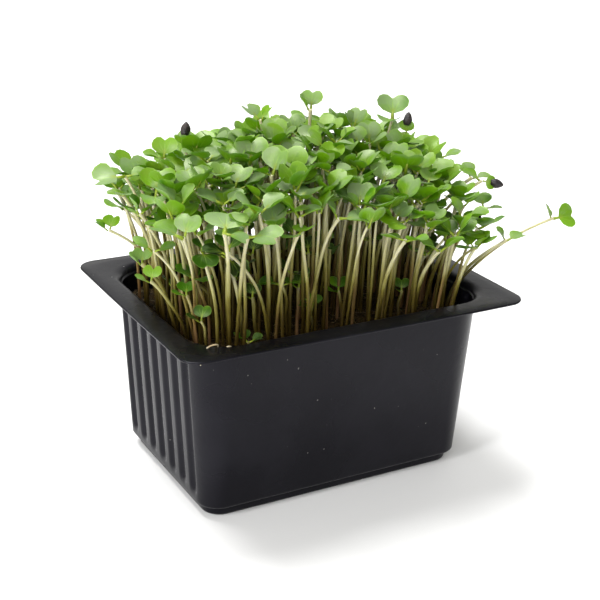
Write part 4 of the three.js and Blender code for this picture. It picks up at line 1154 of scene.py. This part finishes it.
def leaf_tree():
    """Sets a leaf on each point, turns and sizes it, then cups, droops and ripples its blade."""
    tree, given = node_tree("leaves on points", "Shape", "Leaf", Ripple=LEAF_RIPPLE)
    shape = add_node(tree, "GeometryNodeObjectInfo", {"Object": given.outputs["Shape"]})
    rotation = add_node(tree, "FunctionNodeEulerToRotation", {0: attribute(tree, "turned", "FLOAT_VECTOR")})
    copies = add_node(tree, "GeometryNodeInstanceOnPoints", {
        "Points": given.outputs["Geometry"],
        "Instance": shape.outputs["Geometry"],
        "Rotation": rotation.outputs[0],
        "Scale": attribute(tree, "width"),
    })
    real = add_node(tree, "GeometryNodeRealizeInstances", {"Geometry": copies.outputs["Instances"]})
    curl = add_node(tree, "ShaderNodeSeparateXYZ", {0: attribute(tree, "curl", "FLOAT_VECTOR")})
    position = tree.nodes.new("GeometryNodeInputPosition").outputs[0]
    noise = add_node(tree, "ShaderNodeTexNoise", {
        "Vector": position, "Scale": RIPPLE_SCALE, "Detail": 0.0,
    })
    ripple = times(tree, calculate(tree, "SUBTRACT", noise.outputs["Fac"], 0.5), 2.0)
    rippled = times(tree, times(tree, ripple, given.outputs["Ripple"]), curl.outputs["Z"])
    cupped = scaled(tree, attribute(tree, "cup"), curl.outputs["X"], rippled)
    drooped = scaled(tree, attribute(tree, "droop"), curl.outputs["Y"], cupped)
    raised = times(tree, drooped, attribute(tree, "width"))
    dent = times(tree, attribute(tree, "notch"), attribute(tree, "dent"))
    notched = times(tree, dent, attribute(tree, "width"))
    offset = add_node(tree, "ShaderNodeVectorMath", {
        0: along_vector(tree, "upward", raised), 1: along_vector(tree, "forward", notched),
    }, operation="ADD")
    bent = add_node(tree, "GeometryNodeSetPosition", {
        "Geometry": real.outputs["Geometry"], "Offset": offset.outputs[0],
    })
    finish_tree(tree, bent.outputs["Geometry"], given.outputs["Leaf"])
    return tree


def leaf_veins(tree, across, along):
    """Faint veins that fan out from the leaf's root and fade towards its rim, and a midrib."""
    aside = calculate(tree, "ABSOLUTE", across)
    angle = calculate(tree, "ARCTAN2", aside, calculate(tree, "ADD", along, 0.12))
    fan = calculate(tree, "FRACT", times(tree, angle, 2.1))
    off_middle = calculate(tree, "ABSOLUTE", calculate(tree, "SUBTRACT", fan, 0.5))
    from_root = calculate(tree, "SQRT", scaled(tree, across, across, times(tree, along, along)))
    side_veins = times(tree, between(tree, off_middle, 0.36, 0.47), between(tree, from_root, 1.0, 0.25))
    midrib = times(tree, between(tree, aside, 0.07, 0.0), between(tree, along, 1.0, 0.4))
    return calculate(tree, "MAXIMUM", side_veins, midrib), from_root


def leaf_green(tree, tone, lit, patches, across, on_top):
    """Green that goes from painted shade to light, with a blotchy bloom of wax and painted sheen on the upper
    side.
    """
    shade = scaled(tree, patches, factor=0.45, added=times(tree, tone, 0.75))
    # The darkest green is painted shade.
    darkest = colour_between(tree, lit, LEAF_SHADE, LEAF_DEEP)
    deep = colour_between(tree, between(tree, shade, 0.05, 0.5), darkest, LEAF_GREEN)
    green = colour_between(tree, between(tree, shade, 0.6, 1.15), deep, LEAF_LIGHT)
    bloom_and_sheen = scaled(
        tree, mottle(tree, scale=150, low=0.38, high=0.62), factor=0.7, added=surface_value(tree, "bloom_and_sheen"),
    )
    # The bloom is partly painted sheen, and it fades towards one side of the leaf.
    wax_and_sheen = times(tree, times(tree, on_top, between(tree, bloom_and_sheen, 0.45, 1.3)), between(tree, across, 1.3, 0.5))
    return colour_between(tree, wax_and_sheen, green, LEAF_WAX_AND_SHEEN)


def leaf_material():
    """Waxy green leaf with painted sheen and painted shade, veins, a rim and a paler root, which lets some
    light through.
    """
    material, tree, shader = new_material("seed_leaf")
    where = add_node(tree, "ShaderNodeAttribute", attribute_name="blade").outputs["Vector"]
    across, along, side = add_node(tree, "ShaderNodeSeparateXYZ", {0: where}).outputs
    on_blade, on_top = between(tree, side, 0.1, 0.4), between(tree, side, 0.5, 1)
    tone = surface_value(tree, "tone")
    # 1 where a leaf has no painted shade, 0 where it has the darkest.
    lit = between(tree, tone, -0.6, 0.0)
    patches = mottle(tree, scale=260, low=0.35, high=0.65)
    veins, from_root = leaf_veins(tree, across, along)
    green = leaf_green(tree, tone, lit, patches, across, on_top)
    veined = colour_between(tree, times(tree, veins, 0.55), green, LEAF_VEIN)
    outermost = calculate(tree, "MAXIMUM", calculate(tree, "ABSOLUTE", across), along)
    rimmed = colour_between(tree, times(tree, between(tree, outermost, 0.9, 1.0), 0.4), veined, LEAF_VEIN)
    base = times(tree, between(tree, from_root, 0.42, 0.05), 0.8)
    stalk = calculate(tree, "MAXIMUM", base, calculate(tree, "SUBTRACT", 1.0, on_blade))
    colour = colour_between(tree, stalk, rimmed, LEAF_BASE)
    cells = mottle(tree, scale=1500, low=0.25, high=0.75, detail=1.0)
    relief = scaled(tree, veins, factor=-0.8, added=times(tree, cells, 0.25))
    normal = bumped(tree, relief, strength=0.35, distance=0.0002)
    set_inputs(tree, shader, {
        "Base Color": colour,
        "Roughness": scaled(tree, patches, factor=0.14, added=0.42),
        "Specular IOR Level": 0.55,
        "Specular Tint": LEAF_SHEEN,
        # Painted shade also takes the coat off the darkest leaves.
        "Coat Weight": scaled(tree, lit, factor=0.45, added=0.05),
        "Coat Roughness": 0.38,
        "Normal": normal,
    })
    glow = add_node(tree, "ShaderNodeBsdfTranslucent", {
        "Color": colour_between(tree, 0.75, colour, LEAF_GLOW), "Normal": normal,
    })
    # Painted shade also lets less light through the darkest leaves.
    through = scaled(tree, lit, factor=0.3, added=0.06)
    both = add_node(tree, "ShaderNodeMixShader", {0: through, 1: shader.outputs[0], 2: glow.outputs[0]})
    set_inputs(tree, tree.nodes["Material Output"], {"Surface": both.outputs[0]})
    return material


shape = leaf_shape()
leaves = grown(
    "cress_seed_leaves", leaf_points(crop.sprouts), leaf_tree(),
    Ripple=LEAF_RIPPLE, Shape=shape, Leaf=leaf_material(),
)
bpy.data.objects.remove(shape)
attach(leaves, "root")
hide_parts(*clumps)

# Seed hulls. The split dark brown coat of the seed, dry and wrinkled, which some sprouts still carry
# on the tip of a leaf. Each is two parted half shells.
SHELL_LENGTH, SHELL_RADIUS, SHELL_WALL = 3.85, 1.2, 0.25
SHELL_FROM, SHELL_TO = 0.02, 0.98  # shares of the length at the first and the last ring
SHELL_OPENING, SHELL_FULLNESS = 0.12, 0.7  # how far the bulge has risen at the leaf, and its power
SHELL_CORE = 0.05  # least radius inside
SHELL_STEPS, SHELL_SIDES = 9, 9
SHELL_WRINKLE, SHELL_DENT = 0.07, 0.05
FOLDS_ROUND, FOLDS_ALONG, DENTS_ALONG = 5, 7, 11  # how fast the waves of the wrinkles follow each other
HULL_PARTING = 7  # degrees that each half is opened by
HULL_GRIP = 1.5  # how far the leaf's tip reaches into its hull
HULL_DARK = (0.005, 0.003, 0.004, 1)
HULL_BROWN = (0.022, 0.012, 0.010, 1)


def half_shell(random):
    """One wrinkled half of a hull along Y, opened at the end that holds the leaf."""
    outer, inner = [], []
    wrinkle = random.uniform(0, 2 * math.pi, 3)
    for share in np.linspace(SHELL_FROM, SHELL_TO, SHELL_STEPS):
        risen = SHELL_OPENING + (1 - SHELL_OPENING) * share
        bulge = SHELL_RADIUS * math.sin(math.pi * risen) ** SHELL_FULLNESS
        middle = np.array((0, share * SHELL_LENGTH, 0))
        for k in range(SHELL_SIDES):
            angle = math.pi * k / (SHELL_SIDES - 1)
            round_it = math.sin(FOLDS_ROUND * angle + wrinkle[0])
            fold = 1 + SHELL_WRINKLE * round_it * math.sin(FOLDS_ALONG * share + wrinkle[1])
            reach = bulge * fold * (1 + SHELL_DENT * math.sin(DENTS_ALONG * share + wrinkle[2]))
            direction = np.array((math.cos(angle), 0, math.sin(angle)))
            outer.append(middle + direction * reach)
            inner.append(middle + direction * max(SHELL_CORE, reach - SHELL_WALL))
    points = np.array(outer + inner)
    from_hinge = SHELL_LENGTH * (1 - points[:, 1] / SHELL_LENGTH)
    points[:, 2] += from_hinge * math.tan(math.radians(HULL_PARTING))
    return points, shell_faces()


def shell_faces():
    """Faces of a half shell: outside and inside, then its long edges and its ends."""
    faces, shift = [], SHELL_STEPS * SHELL_SIDES
    for i in range(SHELL_STEPS - 1):
        for k in range(SHELL_SIDES - 1):
            a = i * SHELL_SIDES + k
            b = a + SHELL_SIDES
            faces.append((a, a + 1, b + 1, b))
            faces.append((shift + a, shift + b, shift + b + 1, shift + a + 1))
        for k in (0, SHELL_SIDES - 1):
            a = i * SHELL_SIDES + k
            strip = (a, a + SHELL_SIDES, shift + a + SHELL_SIDES, shift + a)
            faces.append(strip if k == 0 else strip[::-1])
    for i in (0, SHELL_STEPS - 1):
        for k in range(SHELL_SIDES - 1):
            a = i * SHELL_SIDES + k
            strip = (a + 1, a, shift + a, shift + a + 1)
            faces.append(strip if i == 0 else strip[::-1])
    return faces


def hull_mesh(name, top, leaf, random):
    """A hull on the tip of a leaf, in its place."""
    rows = leaf_frame(leaf)
    start = leaf_root(top, leaf) + rows[1] * ((STALK_SHARE + BLADE_SHARE) * leaf.width - HULL_GRIP)
    every_point, every_face = [], []
    for side in (1, -1):
        points, faces = half_shell(random)
        first = len(every_point)
        every_point.extend(start + (points * (1, 1, side)) @ rows)
        every_face.extend(tuple(first + i for i in face[::side]) for face in faces)
    mesh = bpy.data.meshes.new(name)
    mesh.from_pydata((np.array(every_point) * MM).tolist(), [], every_face)
    mesh.shade_smooth()
    return mesh


def hull_material():
    """Dry brown seed coat, patchy and finely pitted."""
    material, tree, shader = new_material("seed_hull")
    patches = mottle(tree, scale=500, low=0.35, high=0.7)
    set_inputs(tree, shader, {
        "Base Color": colour_between(tree, patches, HULL_DARK, HULL_BROWN),
        "Roughness": scaled(tree, patches, factor=0.25, added=0.45),
        "Normal": bumped(
            tree, mottle(tree, scale=2400, low=0.35, high=0.7, detail=1.0), strength=0.5, distance=0.0002,
        ),
    })
    return material


hull_finish = hull_material()
hull_random = np.random.default_rng(3)
hull_carriers = [(sprout.top, leaf) for sprout in crop.sprouts for leaf in sprout.leaves if leaf.cup == 0]
for number, (top, leaf) in enumerate(hull_carriers, 1):
    name = "cress_hull_%d" % number
    hull = placed(name, hull_mesh(name, top, leaf, hull_random))
    hull.data.materials.append(hull_finish)
    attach(hull, "root")
    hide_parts("seed_hull_%d" % number)

# Roots. A few fine whitish roots arch out of the medium and lie against the wall, most of them near the
# front left corner, where two reach up over the tray's rounded mouth.
ROOT_RADIUS, ROOT_TAPER = 0.2, 0.07
ROOT_POINTS, ROOT_SIDES = 22, 6
ROOT_WHITE = (0.62, 0.56, 0.40, 1)
ROOT_TAN = (0.36, 0.27, 0.14, 1)
ROOT_ARCS = (
    ((-40, -25, 43.4), (-41.2, -27.6, 47.5), (-40.6, -30.6, 51.2),
     (-38.0, -31.6, 51.5), (-37.4, -28, 48.4), (-37, -25.4, 44)),
    ((-35, -26, 43.4), (-36.6, -29.4, 48.6), (-35.8, -31.4, 50.6),
     (-34.0, -30.6, 49.4), (-32.6, -28.2, 46.6), (-31, -26, 43.4)),
    ((-38, -24.5, 43.5), (-34.5, -27.2, 46.6), (-30.5, -28.3, 47.4), (-27, -28.6, 45.5), (-25, -27.0, 43.2)),
    ((-31, -26.0, 43.2), (-28.2, -28.2, 46.4), (-24, -28.7, 47.6), (-20.5, -28.2, 45.8), (-18, -26.0, 43.4)),
    ((-16, -26.5, 43.4), (-13, -28.0, 45.4), (-9.5, -27.6, 45.2), (-7, -25.8, 43.6)),
    ((12, -26.5, 43.6), (15, -28.2, 45.2), (19, -27.6, 45.0), (22, -26.0, 43.4)),
    ((-38.5, 8, 43.2), (-39.6, 11, 45.6), (-39.2, 15, 45.8), (-37.5, 18, 43.6)),
)


def smoothed(path):
    """A path through a few points, with more of them and no corners."""
    path = np.array(path, float)
    place = np.linspace(0, len(path) - 1, ROOT_POINTS)
    fine = np.stack([np.interp(place, np.arange(len(path)), path[:, axis]) for axis in range(3)], axis=1)
    for _ in range(6):
        fine[1:-1] = (fine[:-2] + 2 * fine[1:-1] + fine[2:]) / 4
    return fine


def root_material():
    """Whitish root with tan patches."""
    material, tree, shader = new_material("root")
    set_inputs(tree, shader, {
        "Base Color": colour_between(tree, mottle(tree, scale=300, low=0.35, high=0.7), ROOT_WHITE, ROOT_TAN),
        "Roughness": 0.6,
        "Normal": bumped(
            tree, mottle(tree, scale=1500, low=0.3, high=0.7, detail=1.0), strength=0.3, distance=0.0001,
        ),
    })
    return material


root_finish = root_material()
for number, path in enumerate(ROOT_ARCS, 1):
    radii = ROOT_RADIUS - ROOT_TAPER * np.linspace(-1, 1, ROOT_POINTS) ** 2
    name = "root_arc_%d" % number
    root = placed(name, strand(name, smoothed(path), radii, ROOT_SIDES))
    root.data.materials.append(root_finish)
    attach(root, "root")

# Floor, light and camera. The tray stands on a plain white floor under broad, soft studio light, and
# the camera looks down on its front and its left end.
FLOOR_HALF = 12  # metres
FLOOR_WHITE = (0.8, 0.8, 0.8, 1)
LOOK_AT, DISTANCE = (1.064, 0, 44.549), 344.55
AZIMUTH, ELEVATION, ROLL = (math.radians(angle) for angle in (-29.819, 21.723, 2.111))
FOCAL_PIXELS, FRAME_PIXELS, SENSOR = 1277.898, 600, 36
WORLD_WARM, WORLD_STRENGTH = (1, 0.985, 0.9, 1), 0.28
SUNS = (
    # name, direction it comes from, strength, how wide it spreads in degrees
    ("overhead_light", (-0.12, 0.35, 0.93), 4.0, 28),
    ("ceiling_light", (0, 0, 1), 0.5, 120),
    ("front_light", (-0.45, -0.70, 0.55), 1.3, 40),
)
PANELS = (
    # name, where it hangs, what it looks at, width, height, strength in watts
    ("left_light", (-0.75, -0.20, 0.32), (0, 0, 0.03), 0.16, 0.6, 6.3),
    ("back_panel", (0.80, 1.39, 0.80), (0, 0, 0.05), 2.2, 1.3, 6.5),
)

floor_corners = [(x * FLOOR_HALF, y * FLOOR_HALF, 0) for x, y in ((-1, -1), (1, -1), (1, 1), (-1, 1))]
floor_mesh = bpy.data.meshes.new("floor")
floor_mesh.from_pydata(floor_corners, [], [(0, 1, 2, 3)])
floor = placed("floor", floor_mesh)
floor_paint, paint_tree, paint = new_material("floor_white")
set_inputs(paint_tree, paint, {"Base Color": FLOOR_WHITE, "Roughness": 0.9, "Specular IOR Level": 0.1})
floor.data.materials.append(floor_paint)

world = bpy.data.worlds.new("studio")
world.use_nodes = True
sky = world.node_tree
set_inputs(sky, sky.nodes["Background"], {"Color": WORLD_WARM, "Strength": WORLD_STRENGTH})
bpy.context.scene.world = world

for name, where, target, width, height, power in PANELS:
    panel = bpy.data.lights.new(name, "AREA")
    panel.shape = "RECTANGLE"
    panel.size, panel.size_y = width, height
    panel.energy = power
    light = placed(name, panel)
    light.location = where
    light.rotation_euler = (Vector(target) - Vector(where)).to_track_quat("-Z", "Y").to_euler()

for name, direction, strength, spread in SUNS:
    sun = bpy.data.lights.new(name, "SUN")
    sun.energy, sun.angle = strength, math.radians(spread)
    placed(name, sun).rotation_euler = (-Vector(direction)).to_track_quat("-Z", "Y").to_euler()

back = Vector((
    math.sin(AZIMUTH) * math.cos(ELEVATION), -math.cos(AZIMUTH) * math.cos(ELEVATION), math.sin(ELEVATION),
))
level = Vector((math.cos(AZIMUTH), math.sin(AZIMUTH), 0))
upright = back.cross(level)
rightward = level * math.cos(ROLL) + upright * math.sin(ROLL)
upward = upright * math.cos(ROLL) - level * math.sin(ROLL)
view = Matrix((rightward, upward, back)).transposed().to_4x4()
view.translation = (Vector(LOOK_AT) + back * DISTANCE) * MM
lens = bpy.data.cameras.new("camera")
lens.sensor_fit = "HORIZONTAL"
lens.sensor_width = SENSOR
lens.lens = SENSOR * FOCAL_PIXELS / FRAME_PIXELS
lens.clip_start, lens.clip_end = 0.01, 20
camera = placed("camera", lens)
camera.matrix_world = view
bpy.context.scene.camera = camera
bpy.context.scene.view_settings.view_transform = "Standard"
